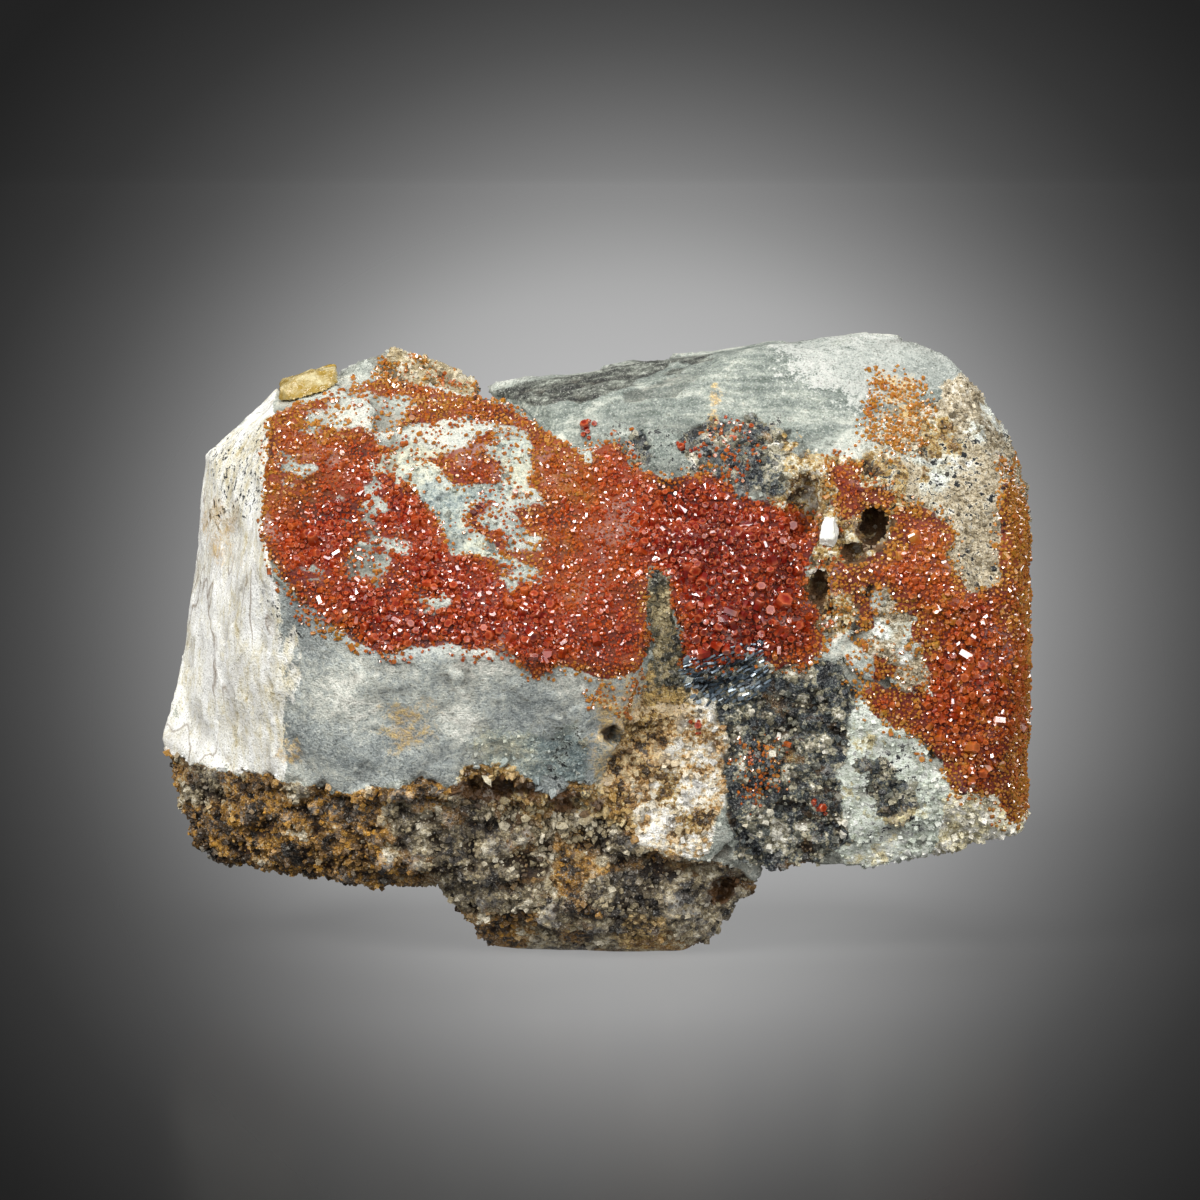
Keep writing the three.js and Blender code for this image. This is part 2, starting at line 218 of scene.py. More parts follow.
@dataclass(frozen=True)
class Area:
    """A part of the rock's front, outlined as it is seen from the front, in millimetres."""

    zone: Zone
    outline: Outline
    soft: float = 0.7
    ragged: float = 1.2

    def inside(self, x: np.ndarray, z: np.ndarray) -> np.ndarray:
        """Measures how far inside the outline points lie.

        Args:
            x: their positions along X, in millimetres.
            z: their positions along Z.

        Returns:
            The distance to the outline, negative outside it.
        """
        corners = np.array(self.outline)
        nearest = np.full(len(x), np.inf)
        within = np.zeros(len(x), bool)
        for (ax, az), (bx, bz) in zip(corners, np.roll(corners, -1, axis=0)):
            squared = (bx - ax) ** 2 + (bz - az) ** 2
            along = np.clip(((x - ax) * (bx - ax) + (z - az) * (bz - az)) / squared, 0, 1)
            nearest = np.minimum(nearest, np.hypot(x - ax - along * (bx - ax), z - az - along * (bz - az)))
            if az != bz:
                crosses = ((az > z) != (bz > z)) & (x < (bx - ax) * (z - az) / (bz - az) + ax)
                within ^= crosses
        return np.where(within, nearest, -nearest)

    def weight(self, points: np.ndarray, frayed: np.ndarray) -> np.ndarray:
        """The share of this area at each point, with a ragged edge.

        Args:
            points: positions in millimetres, three to a row.
            frayed: noise at each point, which makes the edge ragged.

        Returns:
            Numbers from 0 to 1.
        """
        corners = np.array(self.outline)
        margin = self.ragged + self.soft
        low, high = corners.min(axis=0) - margin, corners.max(axis=0) + margin
        flat = points[:, (0, 2)]
        near = np.flatnonzero(np.all((flat > low) & (flat < high), axis=1))
        share = np.zeros(len(points))
        distance = self.inside(flat[near, 0], flat[near, 1]) + self.ragged * frayed[near]
        share[near] = step(-self.soft, self.soft, distance)
        return share


AREAS: tuple[Area, ...] = (
    Area(
        Zone.QUARTZ,
        (
            (-33, 41.5), (-30.5, 39), (-27, 37), (-23, 35), (-9.5, 34.5), (-6, 32), (0, 32), (4, 32), (4, 27.5),
            (0, 24), (-1, 17.5), (-6, 16), (-13.5, 18.5), (-17.5, 20.5), (-24.5, 18.5), (-31, 20), (-33, 27.5),
        ),
        0.5,
        0.6,
    ),
    Area(
        Zone.SLAB,
        (
            (-11, 54), (-4, 55.5), (10, 60), (36, 61.5), (38, 56), (26.5, 52.5), (16.5, 51), (10, 49), (4, 48),
            (0, 50.5), (-4, 52),
        ),
    ),
    Area(
        Zone.SCHIST,
        ((-13, 53.8), (-4, 54.6), (0, 55), (3, 56.6), (11, 58.6), (15, 61), (2, 61), (-12, 58)),
        0.3,
        0.7,
    ),
    Area(Zone.ISLAND, ((-11, 25), (-2, 26), (-1, 21), (-6, 19.5), (-12, 21)), 2.0, 2.5),
    Area(Zone.SIDE, ((-38, 41), (-31.5, 40), (-31, 30), (-31.5, 20), (-38, 19)), 1.6, 2.0),
    Area(Zone.TAN, ((-22, 57.5), (-20, 62), (-12, 60), (-12.5, 55), (-16, 56), (-18.5, 56.5)), 0.4, 0.6),
    Area(
        Zone.SUGAR,
        (
            (26.5, 52.5), (36, 57), (46, 50), (46, 35), (39, 36), (29.5, 34), (26.5, 38.5), (29.5, 44.5),
            (28.5, 49),
        ),
    ),
    Area(Zone.SUGAR, ((27, 37), (32, 36), (31, 33), (33, 28), (30, 28), (26, 32)), 0.5, 0.6),
    Area(Zone.BEIGE, ((31.5, 19), (46, 16), (46, 8), (30, 8)), 0.6, 1.0),
    Area(
        Zone.MINT,
        ((23, 28.5), (26.5, 27.5), (31.5, 23.5), (34.5, 18), (32.5, 11), (31, 6), (24, 6), (23.5, 13), (22.5, 20)),
        0.5,
        0.9,
    ),
    Area(Zone.CREAM, ((4, 28.5), (10, 29), (13, 23), (12.5, 17), (10, 11), (4, 12), (2, 17.5), (0, 19)), 0.6, 1.0),
    Area(
        Zone.BLACK,
        (
            (9, 30.5), (15.5, 32), (22.5, 31.5), (26, 28.5), (23.5, 21), (24.5, 12.5), (20, 8), (14, 10), (12, 17),
            (12.5, 23),
        ),
        0.6,
        1.2,
    ),
    Area(Zone.BLACK, ((26.5, 21), (29, 21.5), (30.5, 18), (30, 14.5), (27, 14.5), (26, 18)), 0.3, 2.4),
    Area(Zone.BLACK, ((2, 51.5), (4, 52.5), (6, 50.5), (5, 48.8), (2.5, 49.2)), 0.6, 1.2),
    Area(Zone.BLACK, ((8, 52), (11, 54), (16, 53), (19.5, 51.5), (18, 47.5), (14, 46.5), (9, 47)), 0.6, 1.6),
    Area(Zone.VUGGY, ((31, 54), (35, 54.5), (35.5, 50), (32, 48.5)), 0.8, 2.0),
    Area(Zone.WARM, ((17, 62), (37, 62), (39, 56), (29, 54), (20, 57)), 3.5, 2.5),
    Area(Zone.STAIN, ((10.6, 57), (11.8, 57), (11.9, 52), (10.5, 52)), 0.5, 0.8),
    Area(Zone.STAIN, ((27.5, 57), (31.5, 57), (32, 52), (28, 52)), 0.8, 1.6),
    Area(Zone.STAIN, ((3.5, 28.5), (8.5, 28.5), (7, 20), (2, 19)), 1.0, 2.0),
    Area(
        Zone.VUGGY,
        (
            (15, 51.5), (22, 50.5), (30, 51), (30, 44.5), (28.5, 40), (24.5, 36), (22.5, 32), (19.5, 37),
            (20.5, 43.5), (16.5, 47),
        ),
        0.6,
        1.3,
    ),
    Area(Zone.CREVICE, ((4.9, 40), (6.6, 40.3), (8.3, 34), (8.4, 27.5), (4.6, 27.5), (5.2, 34)), 0.3, 1.2),
    Area(
        Zone.GOSSAN,
        (
            (-50, 20.5), (-43, 19.8), (-39.5, 19), (-34.5, 19.5), (-29.5, 19.3), (-24.5, 18.3), (-17.5, 20),
            (-13.5, 19.6), (-6, 17), (0, 15), (4, 12.5), (10, 11), (14.5, 9), (20, -5), (-50, -5),
        ),
        0.5,
        1.0,
    ),
    Area(
        Zone.FOOT,
        ((-6, 6.5), (0, 9.5), (7, 10), (13, 8.5), (14, 5), (11, 1), (8, 4), (3, 3), (-2, -2), (-8, -2)),
        0.6,
        1.4,
    ),
    Area(Zone.STAIN, ((-0.5, 31), (5, 30.5), (5.8, 25.5), (4.5, 21), (0, 18), (-2, 24)), 1.0, 1.4),
    Area(Zone.STAIN, ((-21, 28.5), (-16.5, 28.5), (-16, 24.5), (-20, 23.5)), 1.6, 2.0),
    Area(Zone.STAIN, ((-31.8, 24), (-29, 24.5), (-29.3, 21.5), (-32, 21)), 0.5, 0.8),
    Area(
        Zone.COMB,
        ((-15, 17), (-13, 21.5), (-9, 21.5), (-5.5, 19), (-1, 19), (3, 18.5), (3, 14), (-2, 13.5), (-8, 14.5)),
        0.5,
        1.2,
    ),
    Area(Zone.SPECKS, ((-40, 50.5), (-32.5, 54), (-32.5, 46), (-38, 43)), 1.0, 1.5),
    Area(Zone.STAIN, ((2, 5), (6.5, 5), (6.5, 1), (3, 0.5), (1, 2)), 0.6, 1.0),
    Area(Zone.STAIN, ((-39, 46), (-36, 46), (-36, 40), (-39, 40)), 1.5, 2.0),
    Area(Zone.STRAYS, ((-24.5, 56), (-21, 60.5), (-17, 60), (-12, 57.5), (-9.5, 54), (-14, 53.5), (-19, 56)), 0.8, 1.5),
    Area(Zone.STRAYS, ((-31, 40.5), (-27, 38), (-20, 36), (-20, 33.2), (-24, 33), (-29, 36.5)), 0.5, 0.8),
    Area(Zone.STRAYS, ((-2, 33), (4, 32), (3.5, 27), (1, 22), (-1.5, 23), (-1, 28)), 0.8, 1.2),
    Area(Zone.STRAYS, ((27.5, 57), (32, 57), (33, 52.5), (30, 50.5), (26.5, 52)), 0.6, 1.2),
    Area(Zone.STRAYS, ((39.5, 49), (43.5, 48.5), (43.5, 43), (40, 43)), 0.6, 1.0),
    Area(Zone.SPECKS, ((-33, 38), (-26, 39), (-24, 34), (-31, 33)), 1.5, 1.5),
    Area(Zone.SPECKS, ((-6, 26), (-1, 26), (-1, 17), (-6, 18)), 1.0, 1.5),
    Area(Zone.SPECKS, ((26, 52), (44, 52), (44, 34), (27, 36)), 1.0, 1.5),
    Area(Zone.SPECKS, ((25.5, 22), (31.5, 23), (32, 13), (25.5, 12)), 1.0, 1.5),
    Area(Zone.SPECKS, ((0, 53), (18, 54), (18, 48), (0, 48)), 1.0, 1.5),
    Area(
        Zone.ISLAND,
        (
            (-23.5, 49.7), (-20, 52.5), (-15.5, 51), (-14, 49.4), (-10.5, 49.5), (-10, 52.2), (-6.2, 52),
            (-5, 49), (-7, 46.9), (-12, 45.2), (-9, 43.6), (-7.5, 40.5), (-12, 41), (-15.5, 41), (-17, 45),
            (-19.9, 48.2),
        ),
        0.4,
        0.8,
    ),
)


@dataclass(frozen=True)
class Cavity:
    """One of the rock's hollows: its centre and half sizes in millimetres, and how dark the shade painted in it is."""

    at: tuple[float, float, float]
    half: tuple[float, float, float]
    dark: float = 1.0

    def weight(self, points: np.ndarray) -> np.ndarray:
        """1 at points inside the hollow or on its wall, and less just outside it.

        Args:
            points: positions in millimetres, three to a row.

        Returns:
            Numbers from 0 to 1.
        """
        reach = np.linalg.norm((points - np.array(self.at)) / np.array(self.half), axis=1)
        return self.dark * step(1.2, 0.85, reach + 0.35 * Noise(3).layered(points, 1.2))


CAVITIES: tuple[Cavity, ...] = (
    Cavity((26.8, -12, 43.8), (1.9, 5, 2)),
    Cavity((24.7, -13.2, 41.5), (1.3, 2.8, 1.2), 0.8),
    Cavity((20.6, -11.5, 44.5), (1.5, 4, 2.4), 0.45),
    Cavity((21.3, -14.5, 38.1), (1.5, 3.2, 1.9), 0.75),
    Cavity((-10, -19, 18.6), (4.2, 3.6, 1.7)),
    Cavity((-2.2, -18.5, 16.6), (3.4, 3.6, 1.8)),
    Cavity((12, -10, 7), (1.6, 2.6, 1.5)),
)


@dataclass(frozen=True)
class Relief:
    """How rough a zone is: lumps, chips and pits, in millimetres, and the way its grain is drawn out."""

    lumps: tuple[float, float] = (2.4, 0.18)
    chips: tuple[float, float] = (0.9, 0.08)
    facets: tuple[float, float] = (4.5, 0.0)
    pits: tuple[float, float] = (2.0, 0.0)
    drawn: tuple[float, float, float] = (1, 1, 1)

    def height(self, points: np.ndarray, noise: Noise) -> np.ndarray:
        """The height of this relief at each point.

        Args:
            points: positions in millimetres, three to a row.
            noise: where it comes from.

        Returns:
            Heights in millimetres.
        """
        drawn = points * np.array(self.drawn)
        height = self.lumps[1] * noise.layered(drawn, self.lumps[0])
        height += self.chips[1] * Noise(noise.seed + 7).layered(drawn, self.chips[0], 2)
        if self.facets[1]:
            height += Noise(noise.seed + 11).facets(drawn, *self.facets)
        if self.pits[1]:
            holes = Noise(noise.seed + 13).layered(points, self.pits[0], 2)
            height -= self.pits[1] * step(0.15, 0.55, holes)
        return height


RELIEFS: dict[Zone, Relief] = {
    Zone.SIDE: Relief((1.6, 0.08), (0.5, 0.05), (1.7, 0.07), (2, 0), (1, 1, 0.55)),
    Zone.QUARTZ: Relief((3, 0.14), (0.7, 0.06), (2.2, 0.08)),
    Zone.SLAB: Relief((1.8, 0.13), (0.8, 0.06), (5, 0.05), (2, 0), (0.3, 1, 1)),
    Zone.SCHIST: Relief((0.9, 0.3), (0.6, 0.1), (4, 0), (1.2, 0.3), (0.2, 1, 1.6)),
    Zone.TAN: Relief((1.6, 0.35), (0.7, 0.12), (2.6, 0.2)),
    Zone.SUGAR: Relief((1.3, 0.26), (0.6, 0.14)),
    Zone.BEIGE: Relief((1.6, 0.4), (0.7, 0.16), (3, 0.1)),
    Zone.MINT: Relief((2.2, 0.25), (0.7, 0.08), (2.6, 0.1)),
    Zone.CREAM: Relief((1.4, 0.42), (0.6, 0.18), (2, 0.1)),
    Zone.BLACK: Relief((1.8, 0.5), (0.7, 0.2), (1.7, 0.25), (2, 0.45)),
    Zone.VUGGY: Relief((1.8, 0.5), (0.7, 0.18), (2, 0.1), (2.4, 0.8)),
    Zone.CREVICE: Relief((1.8, 0.25), (0.6, 0.12), (2, 0.1)),
    Zone.GOSSAN: Relief((2.6, 0.6), (0.9, 0.3), (2.2, 0.2), (1.8, 0.6)),
    Zone.FOOT: Relief((2.6, 0.55), (0.9, 0.26), (2.4, 0.25), (2.4, 0.4)),
    Zone.ISLAND: Relief((2, 0.24), (0.8, 0.14), (2.0, 0.14)),
    Zone.COMB: Relief((1.3, 0.5), (0.6, 0.2), (1.4, 0.3), (1.8, 0.5)),
    Zone.CRUST: Relief((3.2, 0.6), (1, 0.14)),
}


@dataclass(frozen=True)
class Link:
    """An output of a shader node, which can be used in sums as a number can."""

    shader: "Shader"
    socket: bpy.types.NodeSocket

    def _sum(self, operation: str, *values: "Link | float") -> "Link":
        """Adds one Math node."""
        return self.shader.add("ShaderNodeMath", {"operation": operation}, dict(enumerate(values)))

    def __add__(self, other: "Link | float") -> "Link":
        """self + other."""
        return self._sum("ADD", self, other)

    def __radd__(self, other: float) -> "Link":
        """other + self."""
        return self._sum("ADD", other, self)

    def __sub__(self, other: "Link | float") -> "Link":
        """self - other."""
        return self._sum("SUBTRACT", self, other)

    def __rsub__(self, other: float) -> "Link":
        """other - self."""
        return self._sum("SUBTRACT", other, self)

    def __mul__(self, other: "Link | float") -> "Link":
        """self * other."""
        return self._sum("MULTIPLY", self, other)

    def __rmul__(self, other: float) -> "Link":
        """other * self."""
        return self._sum("MULTIPLY", other, self)

    def __truediv__(self, other: "Link | float") -> "Link":
        """self / other."""
        return self._sum("DIVIDE", self, other)

    def __pow__(self, other: "Link | float") -> "Link":
        """self ** other."""
        return self._sum("POWER", self, other)

    def clamped(self) -> "Link":
        """The value kept from 0 to 1."""
        return self.shader.add("ShaderNodeMath", {"operation": "ADD", "use_clamp": True}, {0: self, 1: 0.0})

    def stretched(self, low: float, high: float) -> "Link":
        """Goes in a straight line from 0 at `low` to 1 at `high`, and is kept from 0 to 1."""
        return self.shader.add(
            "ShaderNodeMapRange", {"clamp": True}, {"Value": self, "From Min": low, "From Max": high}
        )

    def drawn(self, x: float, y: float, z: float) -> "Link":
        """A position multiplied along each axis."""
        return self.shader.add("ShaderNodeVectorMath", {"operation": "MULTIPLY"}, {0: self, 1: (x, y, z)})


class Shader:
    """A material that is written as Python expressions."""

    def __init__(self, name: str) -> None:
        """Makes an empty material.

        Args:
            name: the material's name.
        """
        self.material = bpy.data.materials.new(name)
        self.material.use_nodes = True
        self.tree = self.material.node_tree
        self.tree.nodes.clear()

    def add(
        self,
        kind: str,
        settings: dict[str, object] | None = None,
        inputs: dict[str | int, object] | None = None,
        output: str | int = 0,
    ) -> Link:
        """Adds one node.

        Args:
            kind: the node's type.
            settings: its own settings, which are set first; `stops` are a ramp's places and colours.
            inputs: the value or link of each of its sockets, by name or number.
            output: the socket that is returned.

        Returns:
            That output.
        """
        node = self.tree.nodes.new(kind)
        for name, value in (settings or {}).items():
            if name == "stops":
                ramp = node.color_ramp
                ramp.interpolation = "B_SPLINE" if len(value) > 6 else "LINEAR"
                for _ in range(len(value) - 2):
                    ramp.elements.new(0.5)
                for element, (place, colour) in zip(ramp.elements, value):
                    element.position, element.color = place, colour
            else:
                setattr(node, name, value)
        for name, value in (inputs or {}).items():
            if isinstance(value, Link):
                self.tree.links.new(value.socket, node.inputs[name])
            else:
                node.inputs[name].default_value = value
        return Link(self, node.outputs[output])

    def place(self) -> Link:
        """The position on the object, in metres."""
        return self.add("ShaderNodeTexCoord", output="Object")

    def attribute(self, name: str) -> Link:
        """A number that the mesh stores at each point."""
        return self.add("ShaderNodeAttribute", {"attribute_name": name}, output="Fac")

    def noise(self, at: Link, size: float, detail: float = 3, rough: float = 0.55) -> Link:
        """Noise from 0 to 1.

        Args:
            at: the position.
            size: the size of its lumps in metres.
            detail: how many finer layers it has.
            rough: how strong those are.

        Returns:
            The noise.
        """
        return self.add(
            "ShaderNodeTexNoise",
            {"noise_dimensions": "3D"},
            {"Vector": at, "Scale": 1 / size, "Detail": detail, "Roughness": rough},
        )

    def mixed(self, share: "Link | float", first: "Link | Colour", second: "Link | Colour") -> Link:
        """The first colour with a share of the second mixed in."""
        return self.add("ShaderNodeMix", {"data_type": "RGBA"}, {0: share, 6: first, 7: second}, 2)

    def darkened(self, share: "Link | float", colour: Link, by: "Link | Colour") -> Link:
        """A colour multiplied by another one, as far as the share says."""
        return self.add(
            "ShaderNodeMix", {"data_type": "RGBA", "blend_type": "MULTIPLY"}, {0: share, 6: colour, 7: by}, 2
        )

    def ramp(self, value: Link, *stops: tuple[float, Colour]) -> Link:
        """Turns a number from 0 to 1 into a colour, by way of colours at set places."""
        return self.add("ShaderNodeValToRGB", {"stops": stops}, {0: value})

    def even_ramp(self, value: Link, colours: tuple[Colour, ...], low: float = 0.0, high: float = 1.0) -> Link:
        """Spreads colours evenly over the numbers from `low` to `high`."""
        width = (high - low) / (len(colours) - 1)
        return self.ramp(value, *[(low + width * i, colour) for i, colour in enumerate(colours)])

    def bump(self, height: Link, strength: float, depth: float) -> Link:
        """A normal tipped by a height, which is 1 at the depth in metres."""
        return self.add("ShaderNodeBump", {}, {"Strength": strength, "Distance": depth, "Height": height})

    def finish(self, inputs: dict[str | int, object]) -> bpy.types.Material:
        """Adds the Principled shader and the output.

        Args:
            inputs: the shader's sockets.

        Returns:
            The material.
        """
        shader = self.add("ShaderNodeBsdfPrincipled", {}, inputs, "BSDF")
        ending = self.tree.nodes.new("ShaderNodeOutputMaterial")
        self.tree.links.new(shader.socket, ending.inputs["Surface"])
        return self.material


@dataclass(frozen=True)
class Palette:
    """The colours of a zone from its darkest spots to its palest, and how rough its edge is."""

    colours: tuple[Colour, ...]
    low: float = 0.36
    high: float = 0.64
    ragged: float = 0.6


@dataclass(frozen=True)
class RockFinish:
    """The rock's colours and grain, zone by zone. The rock's loose grains take it as well."""

    bare: Palette = Palette((tint("7F857D"), tint("A3A99F"), tint("BDC0B5"), tint("D2CFBF")), 0.4, 0.6)
    side: Palette = Palette((tint("BAA878"), tint("E4DCC2"), tint("F3F1E6"), tint("FEFEFA")), 0.34, 0.56, 0.5)
    quartz: Palette = Palette((tint("858C8B"), tint("A8AEAA"), tint("C2C5BB"), tint("E8E7DC")), 0.39, 0.61, 0.6)
    slab: Palette = Palette((tint("5E675F"), tint("777F78"), tint("8D948A"), tint("B0B3A8")), 0.39, 0.61, 0.5)
    warm: Palette = Palette((tint("868C86"), tint("9DA29B"), tint("B0B3AC"), tint("C2C2BC")), 0.38, 0.62, 0.9)
    schist: Palette = Palette((tint("181A16"), tint("3E413A"), tint("70746A"), tint("A2A79B")), 0.39, 0.61, 0.6)
    tan: Palette = Palette((tint("6E5A38"), tint("A5926A"), tint("C6B998"), tint("DED7C4")))
    sugar: Palette = Palette((tint("6E6046"), tint("AD9E80"), tint("CCC0A6"), tint("EAE4D4")), 0.38, 0.63)
    beige: Palette = Palette((tint("A8986A"), tint("DACEA2"), tint("F0E8C8"), tint("FCF8EC")), 0.33, 0.55)
    mint: Palette = Palette((tint("A2A894"), tint("C4CCBE"), tint("D8DDD2"), tint("EEEFE8")), 0.36, 0.62)
    cream: Palette = Palette(
        (tint("6B4A22"), tint("C79A58"), tint("E3D4B4"), tint("F3EEE2"), tint("FBF9F3")), 0.39, 0.62
    )
    black: Palette = Palette(
        (tint("14181D"), tint("2A3239"), tint("4E5450"), tint("87826A"), tint("B8B096"), tint("ECE8DA")), 0.41, 0.62
    )
    vuggy: Palette = Palette(
        (tint("3E2C12"), tint("7E5C2A"), tint("B0904E"), tint("CBC1A2"), tint("E8E4D6")), 0.38, 0.6
    )
    crevice: Palette = Palette((tint("26261E"), tint("57533F"), tint("94845C"), tint("CCBC90")), 0.39, 0.61)
    gossan: Palette = Palette(
        (tint("241C14"), tint("54402A"), tint("926A2C"), tint("C48E2C"), tint("D2A850"), tint("F0E8D2")), 0.39, 0.62
    )
    foot: Palette = Palette(
        (tint("1E1A18"), tint("463E35"), tint("776A52"), tint("A99A78"), tint("DAD0B8")), 0.38, 0.62, 0.8
    )
    island: Palette = Palette((tint("6C7A7A"), tint("9BA49C"), tint("BBBDAA"), tint("DAD6BC")), 0.4, 0.62)
    comb: Palette = Palette((tint("2A1C0C"), tint("6B4A1C"), tint("A8823E"), tint("CDB988"), tint("E6DFC8")))
    # under the crusts: the crust's red brown, a step darker than the crystals as painted shade between them
    under: tuple[Colour, ...] = (tint("50120C"), tint("70200E"), tint("8A4014"), tint("9C702C"))
    amber: Colour = tint("A8740C")
    pale_amber: Colour = tint("DEBA66")
    # painted shade inside the cavities
    hollow: Colour = tint("5E4020")
    speck: Colour = tint("15181B")
    crack: Colour = tint("6E5024")
    # darkens spots where the fine noise is low
    fine_noise_dark: Colour = tint("77705C")
    # painted highlight: pale specks that stand in for sparkle
    painted_sparkle: Colour = tint("F4F2E8")
    # painted shade for the relief's pits, and painted highlight for its ridges
    painted_pit_shade: Colour = tint("5E4E3C")
    painted_ridge_highlight: Colour = tint("F4F1E8")
    dark_grain: Colour = tint("4A443C")
    pale_grain: Colour = tint("F2E8D2")

    def overlays(self) -> tuple[tuple[Zone, Palette, float, float], ...]:
        """Zones that are patched with a second palette, and the noise values where it starts and is full."""
        return (
            (Zone.GOSSAN, self.foot, 0.49, 0.54),
            (Zone.FOOT, self.gossan, 0.47, 0.42),
            (Zone.BLACK, self.vuggy, 0.46, 0.42),
            (Zone.CREAM, self.vuggy, 0.43, 0.39),
            (Zone.MINT, self.beige, 0.45, 0.4),
            (Zone.SUGAR, self.mint, 0.56, 0.62),
        )

    def layers(self) -> tuple[tuple[Zone, Palette, str], ...]:
        """The zones from the bottom layer up, with their colours and the pattern that spreads these."""
        return (
            (Zone.SLAB, self.slab, "lying"),
            (Zone.WARM, self.warm, "clouds"),
            (Zone.TAN, self.tan, "patches"),
            (Zone.SCHIST, self.schist, "lying"),
            (Zone.SUGAR, self.sugar, "sugary"),
            (Zone.BEIGE, self.beige, "patches"),
            (Zone.MINT, self.mint, "sugary"),
            (Zone.CREAM, self.cream, "patches"),
            (Zone.VUGGY, self.vuggy, "patches"),
            (Zone.BLACK, self.black, "patches"),
            (Zone.QUARTZ, self.quartz, "clouds"),
            (Zone.ISLAND, self.island, "clouds"),
            (Zone.SIDE, self.side, "upright"),
            (Zone.CREVICE, self.crevice, "patches"),
            (Zone.GOSSAN, self.gossan, "mottled"),
            (Zone.FOOT, self.foot, "patches"),
            (Zone.COMB, self.comb, "patches"),
        )

    def material(self) -> bpy.types.Material:
        """Makes the rock's material.

        Returns:
            The material.
        """
        s = Shader("broken_vein_rock")
        at = s.place()
        spot = s.add("ShaderNodeAttribute", {"attribute_name": "spot"}, output="Vector")
        tone, rise = s.attribute("tone"), s.attribute("rise")
        broad = s.noise(spot, 9 * MM, 1)
        middle = s.noise(spot, 2.4 * MM, 4, 0.7)
        fine = s.noise(spot, 0.6 * MM, 3, 0.72)
        dust = s.noise(at, 0.2 * MM, 2, 0.7)
        patterns = {
            "patches": middle * 0.7 + fine * 0.3,
            "mottled": middle * 0.5 + broad * 0.25 + fine * 0.25,
            "sugary": fine * 0.7 + middle * 0.3,
            "clouds": middle * 0.3 + broad * 0.4 + fine * 0.3,
            "upright": s.noise(spot.drawn(1, 1, 0.4), 1.2 * MM, 3, 0.7) * 0.5 + broad * 0.25 + fine * 0.25,
            "lying": s.noise(spot.drawn(0.2, 1, 1), 0.7 * MM, 2, 0.6) * 0.4 + middle * 0.4 + fine * 0.2,
        }
        frayed = fine * 0.5 + dust * 0.2 + middle * 0.3 - 0.5

        def share(zone: Zone, ragged: float = 0.6, sharp: float = 6.0) -> Link:
            """The zone's share at each spot, with an edge broken up by the grain."""
            return (s.attribute(zone.value) + frayed * (ragged * 3)).stretched(0.5 - 0.5 / sharp, 0.5 + 0.5 / sharp)

        def paint(palette: Palette, pattern: Link) -> Link:
            """Spreads a zone's colours over a pattern."""
            return s.even_ramp(pattern, palette.colours, palette.low, palette.high)

        colour = paint(self.bare, patterns["clouds"])
        for zone, palette, pattern in self.layers():
            colour = s.mixed(share(zone, palette.ragged), colour, paint(palette, patterns[pattern]))
        patchy = broad * 0.5 + middle * 0.5
        for zone, palette, low, high in self.overlays():
            mask = (share(zone, palette.ragged) * patchy.stretched(low, high)).clamped()
            colour = s.mixed(mask, colour, paint(palette, patterns["patches"]))
        stained = (s.attribute(Zone.STAIN.value) * (0.3 + middle) - 0.5 + frayed * 3.2).stretched(0.0, 0.6)
        ochre = s.mixed(fine.stretched(0.38, 0.66), self.amber, self.pale_amber)
        colour = s.mixed(stained * 0.75, colour, ochre)
        # Darkens the rock in spots where the fine noise is low, which is where its bump is low too.
        colour = s.darkened((dust.stretched(0.46, 0.3) * 0.7).clamped(), colour, self.fine_noise_dark)
        # Painted highlight: pale specks where the fine noise and the bump are high stand in for sparkle.
        colour = s.mixed((dust.stretched(0.55, 0.72) * 0.4).clamped(), colour, self.painted_sparkle)
        level = s.noise(spot.drawn(1, 1, 0.45), 6 * MM, 2, 0.6)
        line = level.stretched(0.485, 0.5) * level.stretched(0.515, 0.5) * broad.stretched(0.48, 0.6)
        colour = s.mixed(line * s.attribute(Zone.SIDE.value) * 0.7, colour, self.crack)
        flecks = (fine + (dust - 0.5) * 0.3).stretched(0.565, 0.6) * middle.stretched(0.44, 0.52)
        colour = s.mixed((flecks * s.attribute(Zone.SPECKS.value)).clamped(), colour, self.speck)
        ground = (s.attribute("ground") + (fine - 0.5) * 0.8).clamped()
        # Under the crusts the rock takes the crust's red brown, partly its own colour and partly painted shade between
        # the crystals.
        colour = s.mixed(share(Zone.CRUST, 0.5, 4), colour, s.even_ramp(ground, self.under))
        # Painted shade: the cavities are painted dark brown.
        colour = s.mixed(share(Zone.HOLLOW, 0.3, 2.5), colour, self.hollow)
        # Painted shade and highlight: the relief's low parts are darkened and its high parts lightened.
        colour = s.darkened(rise.stretched(0.52, 0.12), colour, self.painted_pit_shade)
        colour = s.mixed((rise.stretched(0.62, 0.95) * 0.25).clamped(), colour, self.painted_ridge_highlight)
        colour = s.darkened(tone.stretched(0.45, 0.0), colour, self.dark_grain)
        colour = s.mixed((tone.stretched(0.65, 1.0) * 0.35).clamped(), colour, self.pale_grain)
        glassy = (share(Zone.QUARTZ) * 0.3 + share(Zone.BLACK) * 0.3 + share(Zone.FOOT) * 0.25).clamped()
        rough = (0.72 - glassy + (dust - 0.5) * 0.4).clamped()
        height = (fine * 0.55 + dust * 0.45 - 0.5) * (1 - 0.4 * s.attribute(Zone.SMOOTH.value)) + 0.5
        normal = s.bump(height, 0.9, 0.5 * MM)
        return s.finish({"Base Color": colour, "Roughness": rough, "Normal": normal, "IOR": 1.5})


